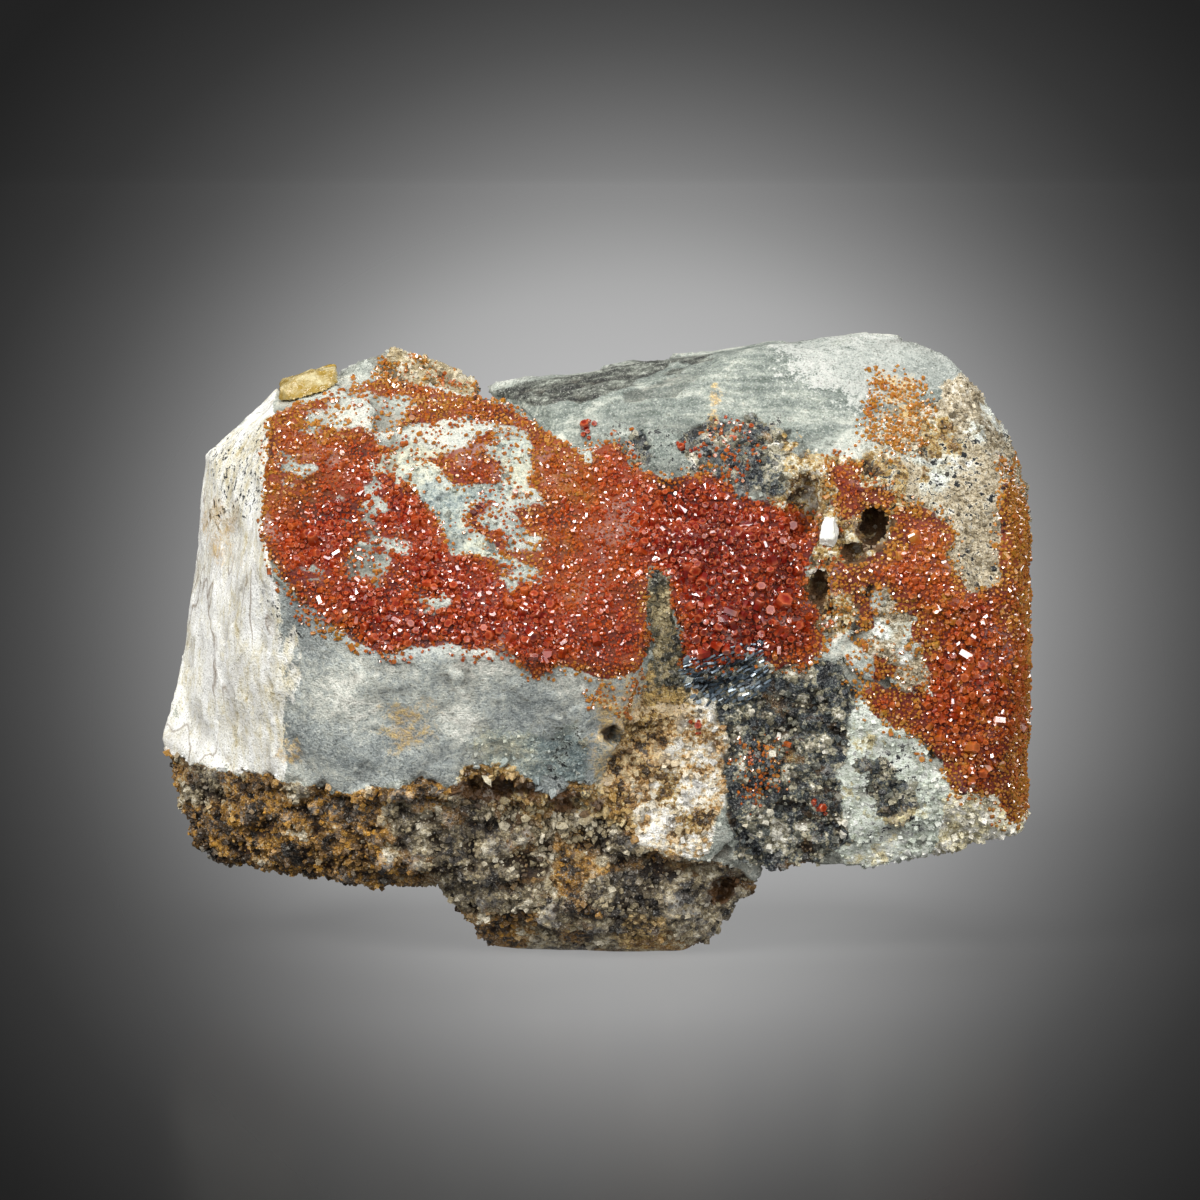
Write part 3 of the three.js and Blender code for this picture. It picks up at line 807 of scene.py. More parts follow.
@dataclass(frozen=True)
class CrystalFinish:
    """The red crystals, from deep red where they are large to orange brown where they are fine."""

    reds: tuple[Colour, ...] = (tint("5E0F0A"), tint("82190A"), tint("A0360A"), tint("A45212"), tint("AC7E2C"))
    # painted highlight on the crystals' rims
    painted_rim_highlight: Colour = tint("E07C4A")
    deep: Colour = tint("986458")
    gloss: float = 0.1

    def material(self) -> bpy.types.Material:
        """Makes the crystals' material.

        Returns:
            The material.
        """
        s = Shader("vanadinite")
        at = s.place()
        tone, rim = s.attribute("tone"), s.attribute("rim")
        cloud = s.noise(at, 1.5 * MM, 3, 0.6)
        grain = s.noise(at, 0.35 * MM, 2)
        shade = (tone + (cloud - 0.5) * 0.8 + (grain - 0.5) * 0.3).clamped()
        colour = s.even_ramp(shade, self.reds)
        chance = s.add("ShaderNodeTexWhiteNoise", {"noise_dimensions": "1D"}, {"W": tone * 991.0})
        colour = s.darkened((chance * 0.6).clamped(), colour, self.deep)
        # Painted highlight: the rims round the crystals' ends are lightened.
        colour = s.mixed((rim.stretched(0.45, 1.0) * grain * 0.7).clamped(), colour, self.painted_rim_highlight)
        rough = (self.gloss + cloud.stretched(0.5, 0.8) * 0.25).clamped()
        return s.finish({"Base Color": colour, "Roughness": rough, "IOR": 1.85})


@dataclass(frozen=True)
class GrainFinish:
    """Grains of one kind, coloured by their tone."""

    name: str
    colours: tuple[Colour, ...]
    roughness: float = 0.45
    metallic: float = 0.0

    def material(self) -> bpy.types.Material:
        """Makes the grains' material.

        Returns:
            The material.
        """
        s = Shader(self.name)
        at = s.place()
        shade = (s.attribute("tone") + (s.noise(at, 0.6 * MM, 2) - 0.5) * 0.25).clamped()
        colour = s.even_ramp(shade, self.colours)
        rough = (self.roughness + (s.noise(at, 0.3 * MM, 2) - 0.5) * 0.3).clamped()
        return s.finish({"Base Color": colour, "Roughness": rough, "Metallic": self.metallic, "IOR": 1.55})


@dataclass(frozen=True)
class ClearFinish:
    """A see-through crystal with clouds and cracks in it; its name is its material's name."""

    name: str
    colour: Colour
    cloud: Colour
    clear: float = 0.5
    ior: float = 1.55

    def material(self) -> bpy.types.Material:
        """Makes the crystal's material.

        Returns:
            The material.
        """
        s = Shader(self.name)
        at = s.place()
        cloud = s.noise(at.drawn(1, 1, 0.5), 1.6 * MM, 4, 0.6).stretched(0.4, 0.68)
        colour = s.mixed(cloud, self.colour, self.cloud)
        rough = (0.12 + cloud * 0.4).clamped()
        normal = s.bump(s.noise(at, 0.7 * MM, 3), 0.3, 0.2 * MM)
        return s.finish(
            {
                "Base Color": colour,
                "Roughness": rough,
                "Normal": normal,
                "IOR": self.ior,
                "Transmission Weight": self.clear,
            }
        )


@dataclass(frozen=True)
class Form:
    """A small closed shape that is repeated: its corners, its faces as the numbers of their corners, and its rims.

    A rim is 1 at a corner on the edge round the crystal's end, where light gathers and the material paints a highlight,
    and 0 away from it.
    """

    corners: tuple[tuple[float, float, float], ...]
    faces: tuple[tuple[int, ...], ...]
    rims: tuple[float, ...]

    @staticmethod
    def ring(radius: float, height: float) -> list[tuple[float, float, float]]:
        """Six points round the axis."""
        turns = [math.pi / 3 * i for i in range(6)]
        return [(radius * math.cos(turn), radius * math.sin(turn), height) for turn in turns]

    @staticmethod
    def base() -> tuple[int, ...]:
        """The face that closes the lowest ring of six corners."""
        return tuple(range(5, -1, -1))

    @staticmethod
    def sides(below: int, above: int, count: int = 6) -> list[tuple[int, ...]]:
        """The faces between one ring of corners and the next."""
        return [(below + i, below + (i + 1) % count, above + (i + 1) % count, above + i) for i in range(count)]

    @staticmethod
    def fan(ring: int, middle: int) -> list[tuple[int, ...]]:
        """The faces between a ring of six corners and the middle of the end they close."""
        return [(ring + i, ring + (i + 1) % 6, middle) for i in range(6)]

    @classmethod
    def bevelled(cls) -> "Form":
        """A short six-sided crystal with a flat end and bevelled corners.

        Returns:
            The shape, with its rims at the flat end.
        """
        corners = [*cls.ring(1, -0.5), *cls.ring(1, 0.38), *cls.ring(0.86, 0.5), (0.0, 0.0, 0.5)]
        faces = [*cls.sides(0, 6), *cls.sides(6, 12), *cls.fan(12, 18), cls.base()]
        return cls(tuple(corners), tuple(faces), (0.0,) * 6 + (0.8,) * 6 + (1.0,) * 6 + (0.0,))

    @classmethod
    def plain(cls) -> "Form":
        """A short six-sided crystal with a flat end.

        Returns:
            The shape, with its rims at the flat end.
        """
        corners = [*cls.ring(1, -0.5), *cls.ring(0.94, 0.5), (0.0, 0.0, 0.5)]
        faces = (*cls.sides(0, 6), *cls.fan(6, 12), cls.base())
        return cls(tuple(corners), faces, (0.0,) * 6 + (1.0,) * 6 + (0.0,))

    @classmethod
    def pointed(cls) -> "Form":
        """A six-sided crystal that ends in a point."""
        corners = [*cls.ring(1, -0.5), *cls.ring(0.95, 0.05), (0.0, 0.0, 0.5)]
        return cls(tuple(corners), (*cls.sides(0, 6), *cls.fan(6, 12), cls.base()), (0.0,) * 13)

    @classmethod
    def block(cls) -> "Form":
        """A rough block."""
        corners = [(x, y, z) for z in (-0.5, 0.5) for x, y in ((-1, -1), (1, -1), (1, 1), (-1, 1))]
        return cls(tuple(corners), (*cls.sides(0, 4, 4), (4, 5, 6, 7), (3, 2, 1, 0)), (0.0,) * 8)


@dataclass
class Places:
    """Where copies of a form stand: the middle, axes and sizes of each, and what its mesh stores for it."""

    middles: np.ndarray
    axes: np.ndarray
    sizes: np.ndarray
    stored: dict[str, np.ndarray]

    def build(self, name: str, form: Form, uneven: float, seed: int) -> bpy.types.Object:
        """Makes one mesh of all the copies.

        Args:
            name: the piece's name.
            form: what is repeated.
            uneven: how far corners stray, as a share of the size.
            seed: what makes it the same in every run.

        Returns:
            The object.
        """
        random = np.random.default_rng(seed)
        corners = np.array(form.corners)
        count, many = len(self.middles), len(corners)
        local = corners[None] * self.sizes[:, None, :]
        local = local * (1 + random.uniform(-uneven, uneven, local.shape))
        points = np.einsum("nvj,nji->nvi", local, self.axes) + self.middles[:, None, :]
        loops = np.concatenate([np.array(face) for face in form.faces])
        lengths = np.tile([len(face) for face in form.faces], count)
        mesh = bpy.data.meshes.new(name)
        mesh.vertices.add(count * many)
        mesh.vertices.foreach_set("co", points.astype(np.float32).ravel())
        mesh.loops.add(len(loops) * count)
        mesh.loops.foreach_set("vertex_index", (loops[None] + np.arange(count)[:, None] * many).ravel())
        mesh.polygons.add(len(lengths))
        mesh.polygons.foreach_set("loop_start", np.concatenate([[0], np.cumsum(lengths)[:-1]]))
        mesh.polygons.foreach_set("loop_total", lengths)
        mesh.update(calc_edges=True)
        for title, values in self.stored.items():
            store(mesh, title, np.repeat(values, many, axis=0))
        store(mesh, "rim", np.tile(form.rims, count))
        mesh.shade_flat()
        made = bpy.data.objects.new(name, mesh)
        bpy.context.scene.collection.objects.link(made)
        return made


def store(mesh: bpy.types.Mesh, name: str, values: np.ndarray) -> None:
    """Stores a number or a vector at each point of a mesh.

    Args:
        mesh: the mesh.
        name: what it is stored as.
        values: one row for each point.
    """
    vector = values.ndim == 2
    layer = mesh.attributes.new(name, "FLOAT_VECTOR" if vector else "FLOAT", "POINT")
    layer.data.foreach_set("vector" if vector else "value", values.astype(np.float32).ravel())


def axes_along(normals: np.ndarray, lean: float, random: np.random.Generator) -> np.ndarray:
    """Sets up axes whose third one leans away from a normal by a random amount.

    Args:
        normals: the normals, three to a row.
        lean: how far they lean, as a share of the normal's length.
        random: where the leaning comes from.

    Returns:
        Three axes for each normal, as the rows of a matrix.
    """
    third = normals + lean * random.normal(0, 1, normals.shape)
    third /= np.linalg.norm(third, axis=1, keepdims=True)
    first = np.cross(third, random.normal(0, 1, normals.shape))
    first /= np.linalg.norm(first, axis=1, keepdims=True)
    return np.stack([first, np.cross(third, first), third], axis=1)


@dataclass
class Skin:
    """The rock's finished surface as arrays, for growing things on."""

    points: np.ndarray
    triangles: np.ndarray
    zones: dict[Zone, np.ndarray]
    middles: np.ndarray = field(init=False)
    normals: np.ndarray = field(init=False)
    areas: np.ndarray = field(init=False)

    def __post_init__(self) -> None:
        """Works out each triangle's middle, normal and area."""
        a, b, c = (self.points[self.triangles[:, i]] for i in range(3))
        cross = np.cross(b - a, c - a)
        length = np.linalg.norm(cross, axis=1)
        self.areas = length / 2
        self.normals = cross / np.maximum(length, 1e-12)[:, None]
        self.middles = (a + b + c) / 3

    def share(self, zone: Zone) -> np.ndarray:
        """The share of a zone on each triangle."""
        return self.zones[zone][self.triangles].mean(axis=1)

    def distances(self, tree: BVHTree, low: Vector, high: Vector, reach: float) -> np.ndarray:
        """Measures how far each triangle is from one of the part's nodes.

        Args:
            tree: the node as a search tree.
            low: its lowest corner.
            high: its highest corner.
            reach: how far to look.

        Returns:
            Distances in millimetres, and NOTHING_NEAR where the node is out of reach.
        """
        found = np.full(len(self.middles), NOTHING_NEAR)
        inside = (self.middles > np.array(low) - reach) & (self.middles < np.array(high) + reach)
        for index in np.flatnonzero(inside.all(axis=1)):
            distance = tree.find_nearest(Vector(self.middles[index]), reach)[3]
            if distance is not None:
                found[index] = distance / MM
        return found

    def spread(self, spacing: np.ndarray, wanted: np.ndarray, seed: int) -> tuple[np.ndarray, np.ndarray]:
        """Spreads points evenly over part of the skin.

        Args:
            spacing: the least distance between points on each triangle.
            wanted: from 0 to 1, how likely each triangle is to get its points.
            seed: what makes it the same in every run.

        Returns:
            The number of the triangle each point lies on, and the points.
        """
        random = np.random.default_rng(seed)
        counts = random.poisson(TRIES * self.areas / spacing**2 * (wanted > 0.02))
        chosen = np.repeat(np.arange(len(self.areas)), counts)
        chosen = chosen[random.random(len(chosen)) < wanted[chosen]]
        random.shuffle(chosen)
        u, v = random.random(len(chosen)), random.random(len(chosen))
        over = u + v > 1
        u, v = np.where(over, 1 - u, u), np.where(over, 1 - v, v)
        a, b, c = (self.points[self.triangles[chosen, i]] for i in range(3))
        spots = a + u[:, None] * (b - a) + v[:, None] * (c - a)
        kept: list[int] = []
        grid: dict[tuple[int, int, int], list[int]] = {}
        width = float(spacing[chosen].max()) if len(chosen) else 1.0
        cells = np.floor(spots / width).astype(int).tolist()
        near = [(i - 1, j - 1, k - 1) for i, j, k in np.ndindex(3, 3, 3)]
        squares, listed = (spacing[chosen] ** 2).tolist(), spots.tolist()
        for index, (cx, cy, cz) in enumerate(cells):
            x, y, z = listed[index]
            limit = squares[index]
            if not any(
                (listed[other][0] - x) ** 2 + (listed[other][1] - y) ** 2 + (listed[other][2] - z) ** 2 < limit
                for dx, dy, dz in near
                for other in grid.get((cx + dx, cy + dy, cz + dz), ())
            ):
                kept.append(index)
                grid.setdefault((cx, cy, cz), []).append(index)
        return chosen[kept], spots[kept]


def triangle_count(mesh: bpy.types.Mesh) -> int:
    """Counts a mesh's triangles."""
    mesh.calc_loop_triangles()
    return len(mesh.loop_triangles)


def dress(piece: bpy.types.Object, material: bpy.types.Material, slot: str, *nodes: str) -> None:
    """Gives a piece its material and ties it to the part.

    Args:
        piece: the object.
        material: its material.
        slot: not used.
        nodes: the part's nodes that it stands for.
    """
    piece.data.materials.clear()
    piece.data.materials.append(material)
    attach(piece, "root")
    if nodes:
        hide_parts(*nodes)
    LOG.info("%s: %d triangles", piece.name, triangle_count(piece.data))


def remeshed(name: str, source: bpy.types.Object, voxel: float) -> bpy.types.Object:
    """Copies one of the part's nodes and covers it with an even grid of small faces.

    Args:
        name: the copy's name.
        source: the part's node.
        voxel: how wide the faces are, in metres.

    Returns:
        The copy, with the grid not yet applied.
    """
    copy = bpy.data.objects.new(name, source.data.copy())
    bpy.context.scene.collection.objects.link(copy)
    grid = copy.modifiers.new("grid", "REMESH")
    grid.mode, grid.voxel_size = "VOXEL", voxel
    return copy


def applied(thing: bpy.types.Object) -> None:
    """Applies an object's modifiers.

    Args:
        thing: the object, which keeps the changed mesh.
    """
    graph = bpy.context.evaluated_depsgraph_get()
    mesh = bpy.data.meshes.new_from_object(thing.evaluated_get(graph))
    thing.modifiers.clear()
    thing.data = mesh


def arrays(mesh: bpy.types.Mesh) -> tuple[np.ndarray, np.ndarray]:
    """Reads a mesh's points and its normals there.

    Args:
        mesh: the mesh.

    Returns:
        The points in millimetres, and the normals.
    """
    points, normals = (np.zeros(len(mesh.vertices) * 3, np.float32) for _ in range(2))
    mesh.vertices.foreach_get("co", points)
    mesh.vertex_normals.foreach_get("vector", normals)
    return points.reshape(-1, 3).astype(float) / MM, normals.reshape(-1, 3).astype(float)


@dataclass
class Rock:
    """The matrix, with its surface broken up."""

    node: str = "matrix"
    voxel: float = 0.33 * MM
    rounding: int = 5
    behind_triangles: int = 36_000
    most_triangles: int = 192_000
    under_reach: float = 1.6
    noise: Noise = Noise(4)

    def zones(self, points: np.ndarray, normals: np.ndarray, crusts: dict[str, BVHTree]) -> dict[Zone, np.ndarray]:
        """Works out where each zone is.

        Args:
            points: positions in millimetres, three to a row.
            normals: the surface's normals there.
            crusts: the red crusts, as search trees in metres.

        Returns:
            The share of each zone at each point.
        """
        found = {zone: np.zeros(len(points)) for zone in Zone}
        front = step(0.4, 0.1, normals[:, 1]) * step(8, 3, points[:, 1])
        frayed = self.noise.layered(points, 2.5, 4)
        for area in AREAS:
            weight = area.weight(points, frayed) * (1 if area.zone is Zone.GOSSAN else front)
            found[area.zone] = np.maximum(found[area.zone], weight)
        left = step(0.36, 0.66, -normals[:, 0] + 0.2 * self.noise.layered(points, 3))
        left = np.maximum(left * step(-26, -30, points[:, 0]), found[Zone.SIDE])
        found[Zone.SIDE] = left * (1 - found[Zone.GOSSAN])
        for cavity in CAVITIES:
            found[Zone.HOLLOW] = np.maximum(found[Zone.HOLLOW], cavity.weight(points))
        found[Zone.CRUST] = self.crusted(points, crusts) * (1 - found[Zone.CREVICE])
        smooth = np.max([found[zone] for zone in SMOOTH_ZONES], axis=0)
        found[Zone.SMOOTH] = smooth * (1 - found[Zone.GOSSAN])
        return found

    def crusted(self, points: np.ndarray, crusts: dict[str, BVHTree]) -> np.ndarray:
        """Finds what lies under the red crusts.

        Args:
            points: positions in millimetres, three to a row.
            crusts: the crusts' search trees, in metres.

        Returns:
            Numbers from 0 to 1.
        """
        near = np.full(len(points), NOTHING_NEAR)
        for name, tree in crusts.items():
            low, high = (np.array(corner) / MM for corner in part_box(name))
            inside = np.all((points > low - self.under_reach) & (points < high + self.under_reach), axis=1)
            for index in np.flatnonzero(inside):
                distance = tree.find_nearest(Vector(points[index] * MM), self.under_reach * MM)[3]
                if distance is not None:
                    near[index] = min(near[index], distance / MM)
        covered = step(1.0, 0.7, near + 0.5 * self.noise.layered(points, 1.6))
        return covered * (1 - 0.8 * thinness(points))

    def build(self, source: bpy.types.Object, crusts: dict[str, BVHTree], finish: bpy.types.Material) -> Skin:
        """Makes the rock that is seen.

        Args:
            source: the part's rock.
            crusts: the red crusts' search trees.
            finish: the rock's material.

        Returns:
            Its surface, for growing things on.
        """
        rock = remeshed("rock", source, self.voxel)
        smooth = rock.modifiers.new("rounding", "SMOOTH")
        smooth.factor, smooth.iterations = 0.5, self.rounding
        applied(rock)
        mesh = rock.data
        points, normals = arrays(mesh)
        zones = self.zones(points, normals, crusts)
        height = self.relief(points, zones)
        moved = points + normals * height[:, None]
        moved[:, 2] = np.where(points[:, 2] < 0.3, np.maximum(points[:, 2], 0), np.maximum(moved[:, 2], 0))
        mesh.vertices.foreach_set("co", (moved * MM).astype(np.float32).ravel())
        for zone, share in zones.items():
            store(mesh, zone.value, share)
        # The rise is the relief's height; the rock's material paints shade in its pits and a highlight on its ridges
        # from it.
        store(mesh, "rise", np.clip(0.5 + (height - 0.12 * self.noise.layered(points, 3)) * 0.8, 0, 1))
        store(mesh, "spot", moved * MM)
        store(mesh, "tone", np.full(len(points), 0.5))
        store(mesh, "ground", patched(points, 0.2, 0.5)[1] + 0.2 * self.noise.layered(points, 3))
        mesh.update()
        behind = rock.vertex_groups.new(name="behind")
        hidden = (points[:, 1] > 7) | (normals[:, 1] > 0.35)
        behind.add(np.flatnonzero(hidden).tolist(), 1.0, "REPLACE")
        total = triangle_count(mesh)
        kept = total * (1 - hidden.mean()) + self.behind_triangles
        self.thinned(rock, kept / total, "behind")
        self.thinned(rock, self.most_triangles / triangle_count(rock.data), "")
        rock.data.shade_smooth()
        dress(rock, finish, "rock", self.node)
        return self.skin(rock.data)

    def relief(self, points: np.ndarray, zones: dict[Zone, np.ndarray]) -> np.ndarray:
        """How far each point is moved out or in.

        Args:
            points: positions in millimetres, three to a row.
            zones: the share of each zone there.

        Returns:
            Heights in millimetres.
        """
        height = Relief((3, 0.3), (1, 0.12), (5, 0.14)).height(points, self.noise)
        for zone, relief in RELIEFS.items():
            share = zones[zone]
            some = share > 0.01
            if some.any():
                height[some] += share[some] * (relief.height(points[some], self.noise) - height[some])
        return height * step(0.2, 2.5, points[:, 2])

    @staticmethod
    def thinned(rock: bpy.types.Object, share: float, group: str) -> None:
        """Removes faces where the surface is flattest.

        Args:
            rock: the object.
            share: how many of its faces stay.
            group: the points it may touch, or nothing for all.
        """
        if share >= 1:
            return
        fewer = rock.modifiers.new("fewer", "DECIMATE")
        fewer.ratio, fewer.vertex_group = share, group
        applied(rock)

    @staticmethod
    def skin(mesh: bpy.types.Mesh) -> Skin:
        """Reads the finished surface back.

        Args:
            mesh: the rock's mesh.

        Returns:
            Its surface.
        """
        mesh.calc_loop_triangles()
        triangles = np.zeros(len(mesh.loop_triangles) * 3, np.int32)
        mesh.loop_triangles.foreach_get("vertices", triangles)
        zones = {}
        for zone in Zone:
            values = np.zeros(len(mesh.vertices), np.float32)
            mesh.attributes[zone.value].data.foreach_get("value", values)
            zones[zone] = values
        return Skin(arrays(mesh)[0] * MM, triangles.reshape(-1, 3), zones)


@dataclass(frozen=True)
class Patch:
    """A round part of the crusts with crystals of another size or tone, in millimetres."""

    at: tuple[float, float]
    reach: float
    size: float
    tone: float


PATCHES: tuple[Patch, ...] = (
    Patch((-25, 40), 7, 0.34, 0.3),
    Patch((-18, 37), 6, 0.38, 0.2),
    Patch((-9, 36.5), 5, 0.36, 0.3),
    Patch((12, 42), 7, 0.42, 0.1),
    Patch((13, 35), 6, 0.44, 0.12),
    Patch((20, 40), 4, 0.36, 0.2),
    Patch((6, 42), 3, 0.3, 0.25),
    Patch((24, 35), 4, 0.3, 0.4),
    Patch((30, 40), 5, 0.28, 0.45),
    Patch((37, 32), 5, 0.42, 0.25),
    Patch((38, 25), 6, 0.4, 0.25),
    Patch((37, 20), 5, 0.26, 0.4),
    Patch((-20.5, 46.5), 3.5, 0.42, 0.25),
    Patch((-9, 46), 3, 0.38, 0.28),
    Patch((-28, 53), 6, 0.2, 0.62),
    Patch((-31, 46), 4, 0.2, 0.66),
    Patch((-15, 54.5), 6, 0.22, 0.55),
    Patch((-4, 47), 5, 0.19, 0.75),
    Patch((0, 41), 5, 0.2, 0.6),
    Patch((2, 36), 4, 0.22, 0.5),
    Patch((42, 43), 4, 0.2, 0.75),
    Patch((42, 34), 3, 0.26, 0.55),
    Patch((28, 54), 5, 0.2, 0.85),
    Patch((-26, 36), 3, 0.2, 0.8),
    Patch((-20, 59), 3, 0.2, 0.7),
    Patch((31, 42), 4, 0.24, 0.6),
)


@dataclass(frozen=True)
class ThinPatch:
    """A part of the crusts that is broken up so that the rock shows, in millimetres."""

    at: tuple[float, float]
    reach: tuple[float, float]
    share: float


THIN_PATCHES: tuple[ThinPatch, ...] = (
    ThinPatch((-16, 52.3), (5, 1.6), 0.75),
    ThinPatch((-22.5, 47), (3, 3), 0.35),
    ThinPatch((-22, 41.5), (5, 2.5), 0.36),
    ThinPatch((-17, 38.5), (4, 2.5), 0.2),
    ThinPatch((-9, 46.5), (3.5, 2.5), 0.5),
    ThinPatch((-8, 42), (3, 3), 0.4),
    ThinPatch((-28, 40), (3, 2), 0.25),
    ThinPatch((27, 37), (2, 2), 0.3),
    ThinPatch((29.5, 31), (2.5, 3), 0.45),
    ThinPatch((20, 47), (3, 2), 0.4),
    ThinPatch((29, 54), (3, 3), 0.35),
    ThinPatch((23.5, 34.5), (1.8, 2.6), 0.9),
    ThinPatch((25, 30.5), (1.6, 2.6), 0.9),
    ThinPatch((14, 51), (4, 2.5), 0.55),
    ThinPatch((-23, 54.5), (6, 2), 0.5),
    ThinPatch((-30, 50), (2.5, 3), 0.3),
    ThinPatch((-9, 51.5), (3, 1.6), 0.5),
)


def thinness(points: np.ndarray) -> np.ndarray:
    """How much of the crusts is missing at each point.

    Args:
        points: positions in millimetres, three to a row.

    Returns:
        Numbers from 0 to 1.
    """
    total = np.zeros(len(points))
    for patch in THIN_PATCHES:
        across = (points[:, 0] - patch.at[0]) / patch.reach[0]
        up = (points[:, 2] - patch.at[1]) / patch.reach[1]
        total = np.maximum(total, patch.share * np.exp(-(across**2 + up**2)))
    gaps = Noise(23).layered(points * np.array([0.7, 1, 1.3]), 1.5)
    return step(0.05, 0.25, total * 0.9 - 0.3 + 0.3 * gaps + 0.25 * (total > 0.1))


def patched(points: np.ndarray, usual: float, usual_tone: float) -> tuple[np.ndarray, np.ndarray]:
    """Blends the patches' sizes and tones at each point.

    Args:
        points: positions in millimetres, three to a row.
        usual: the crystals' radius away from all patches, in millimetres.
        usual_tone: their tone there.

    Returns:
        Radii and tones.
    """
    total = np.full(len(points), 0.3)
    size, tone = total * usual, total * usual_tone
    for patch in PATCHES:
        distance = np.hypot(points[:, 0] - patch.at[0], points[:, 2] - patch.at[1]) / patch.reach
        share = np.exp(-2.2 * distance**2)
        total, size, tone = total + share, size + share * patch.size, tone + share * patch.tone
    return size / total, tone / total


@dataclass
class Crust:
    """One crust of red crystals, in two meshes: the large crystals, and the fine ones that fill in between."""

    name: str
    node: str
    seed: int
    usual: float = 0.22
    usual_tone: float = 0.5
    fine: float = 0.15
    fine_spacing: float = 0.3
    large: float = 0.26
    large_spacing: float = 1.75
    lean: float = 0.8
    density: float = 1.0
    most: int = 8800
    brighter: float = 0.0

    def build(self, skin: Skin, tree: BVHTree, material: bpy.types.Material) -> None:
        """Grows the crust's crystals.

        Args:
            skin: the rock's surface.
            tree: the part's crust as a search tree.
            material: the crystals' material.
        """
        near = skin.distances(tree, *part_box(self.node), 2.6 * MM)
        noise = Noise(self.seed)
        points = skin.middles / MM
        bare = thinness(points)
        ragged = near + 0.6 * noise.layered(points, 2.2)
        scattered = 0.1 * step(2.6, 0.8, near + 0.8 * noise.layered(points, 3))
        strays = np.maximum(scattered, self.straying(skin, points))
        wanted = np.maximum(step(1.1, 0.75, ragged) * (1 - bare) * self.density, strays)
        wanted *= (1 - skin.share(Zone.CREVICE)) * (1 - 0.9 * skin.share(Zone.HOLLOW))
        size, tone = self.sizes(points, noise)
        edge = self.fringe(points, wanted * (skin.normals[:, 1] < 0.2))
        size, tone = size * (1 - 0.4 * edge), tone + 0.4 * edge
        big = wanted * step(self.large * 0.8, self.large * 1.15, size)
        self.grow(skin, size, tone, big, Form.bevelled(), size * self.large_spacing, "large", material)
        small = np.full(len(size), self.fine)
        self.grow(skin, small, tone, wanted, Form.plain(), np.full(len(size), self.fine_spacing), "fine", material)

    def straying(self, skin: Skin, points: np.ndarray) -> np.ndarray:
        """How likely crystals are in the looser patches round the crust.

        Args:
            skin: the rock's surface.
            points: its triangles' middles in millimetres.

        Returns:
            Numbers from 0 to 1.
        """
        clumped = step(-0.1, 0.35, Noise(self.seed + 5).layered(points, 1.8))
        low, high = (np.array(corner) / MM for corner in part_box(self.node))
        close = np.all((points > low - 5) & (points < high + 5), axis=1)
        return 0.75 * skin.share(Zone.STRAYS) * clumped * close

    def grow(
        self,
        skin: Skin,
        size: np.ndarray,
        tone: np.ndarray,
        wanted: np.ndarray,
        form: Form,
        spacing: np.ndarray,
        word: str,
        material: bpy.types.Material,
    ) -> None:
        """Grows the crystals of one mesh.

        Args:
            skin: the rock's surface.
            size: the crystals' radius on each triangle, in millimetres.
            tone: their tone there.
            wanted: how likely each triangle is to get its crystals.
            form: their shape.
            spacing: the least distance between them, in millimetres.
            word: the end of the piece's name.
            material: their material.
        """
        chosen, spots = skin.spread(spacing * MM, wanted, self.seed + len(word))
        if not len(chosen):
            return
        chosen, spots = chosen[: self.most], spots[: self.most]
        random = np.random.default_rng(self.seed + 1)
        radius = size[chosen] * np.exp(random.normal(0, 0.28, len(chosen))) * MM
        height = radius * random.uniform(1.3, 2.6, len(chosen))
        axes = axes_along(skin.normals[chosen], self.lean, random)
        middles = spots + axes[:, 2] * (height * random.uniform(0.0, 0.3, len(chosen)))[:, None]
        tones = np.clip(tone[chosen] + random.normal(0, 0.05, len(chosen)), 0, 1)
        sizes = np.stack([radius, radius * random.uniform(0.8, 1.0, len(chosen)), height], axis=1)
        places = Places(middles, axes, sizes, {"tone": tones})
        piece = places.build(f"{self.name}_{word}", form, 0.06, self.seed + 2)
        dress(piece, material, "vanadinite", self.node)

    def sizes(self, points: np.ndarray, noise: Noise) -> tuple[np.ndarray, np.ndarray]:
        """The large crystals' radius in millimetres and all the crystals' tone at each point.

        Args:
            points: positions in millimetres, three to a row.
            noise: what varies them between patches.

        Returns:
            Radii and tones.
        """
        size, tone = patched(points, self.usual, self.usual_tone)
        tone = tone + self.brighter + 0.2 * noise.layered(points, 3)
        return size * (1 + 0.25 * noise.layered(points, 2.5)), tone

    @staticmethod
    def fringe(points: np.ndarray, wanted: np.ndarray, cell: float = 0.6) -> np.ndarray:
        """Finds the crust's edge, as it is seen from the front.

        Args:
            points: positions in millimetres, three to a row.
            wanted: how likely crystals are at each of them.
            cell: the size of the squares they are counted in.

        Returns:
            Numbers from 0 well inside the crust to 1 at its edge.
        """
        left, below = -60, -10
        column = ((points[:, 0] - left) / cell).astype(int)
        row = ((points[:, 2] - below) / cell).astype(int)
        wide, high = column.max() + 3, row.max() + 3
        index = column * high + row
        counts = np.bincount(index, minlength=wide * high)
        share = np.bincount(index, wanted, wide * high) / np.maximum(counts, 1)
        grid = share.reshape(wide, high)
        offsets = [(i - 2, j - 2) for i, j in np.ndindex(5, 5)]
        blurred = sum(np.roll(grid, offset, (0, 1)) for offset in offsets) / len(offsets)
        return step(0.8, 0.4, blurred[column, row])


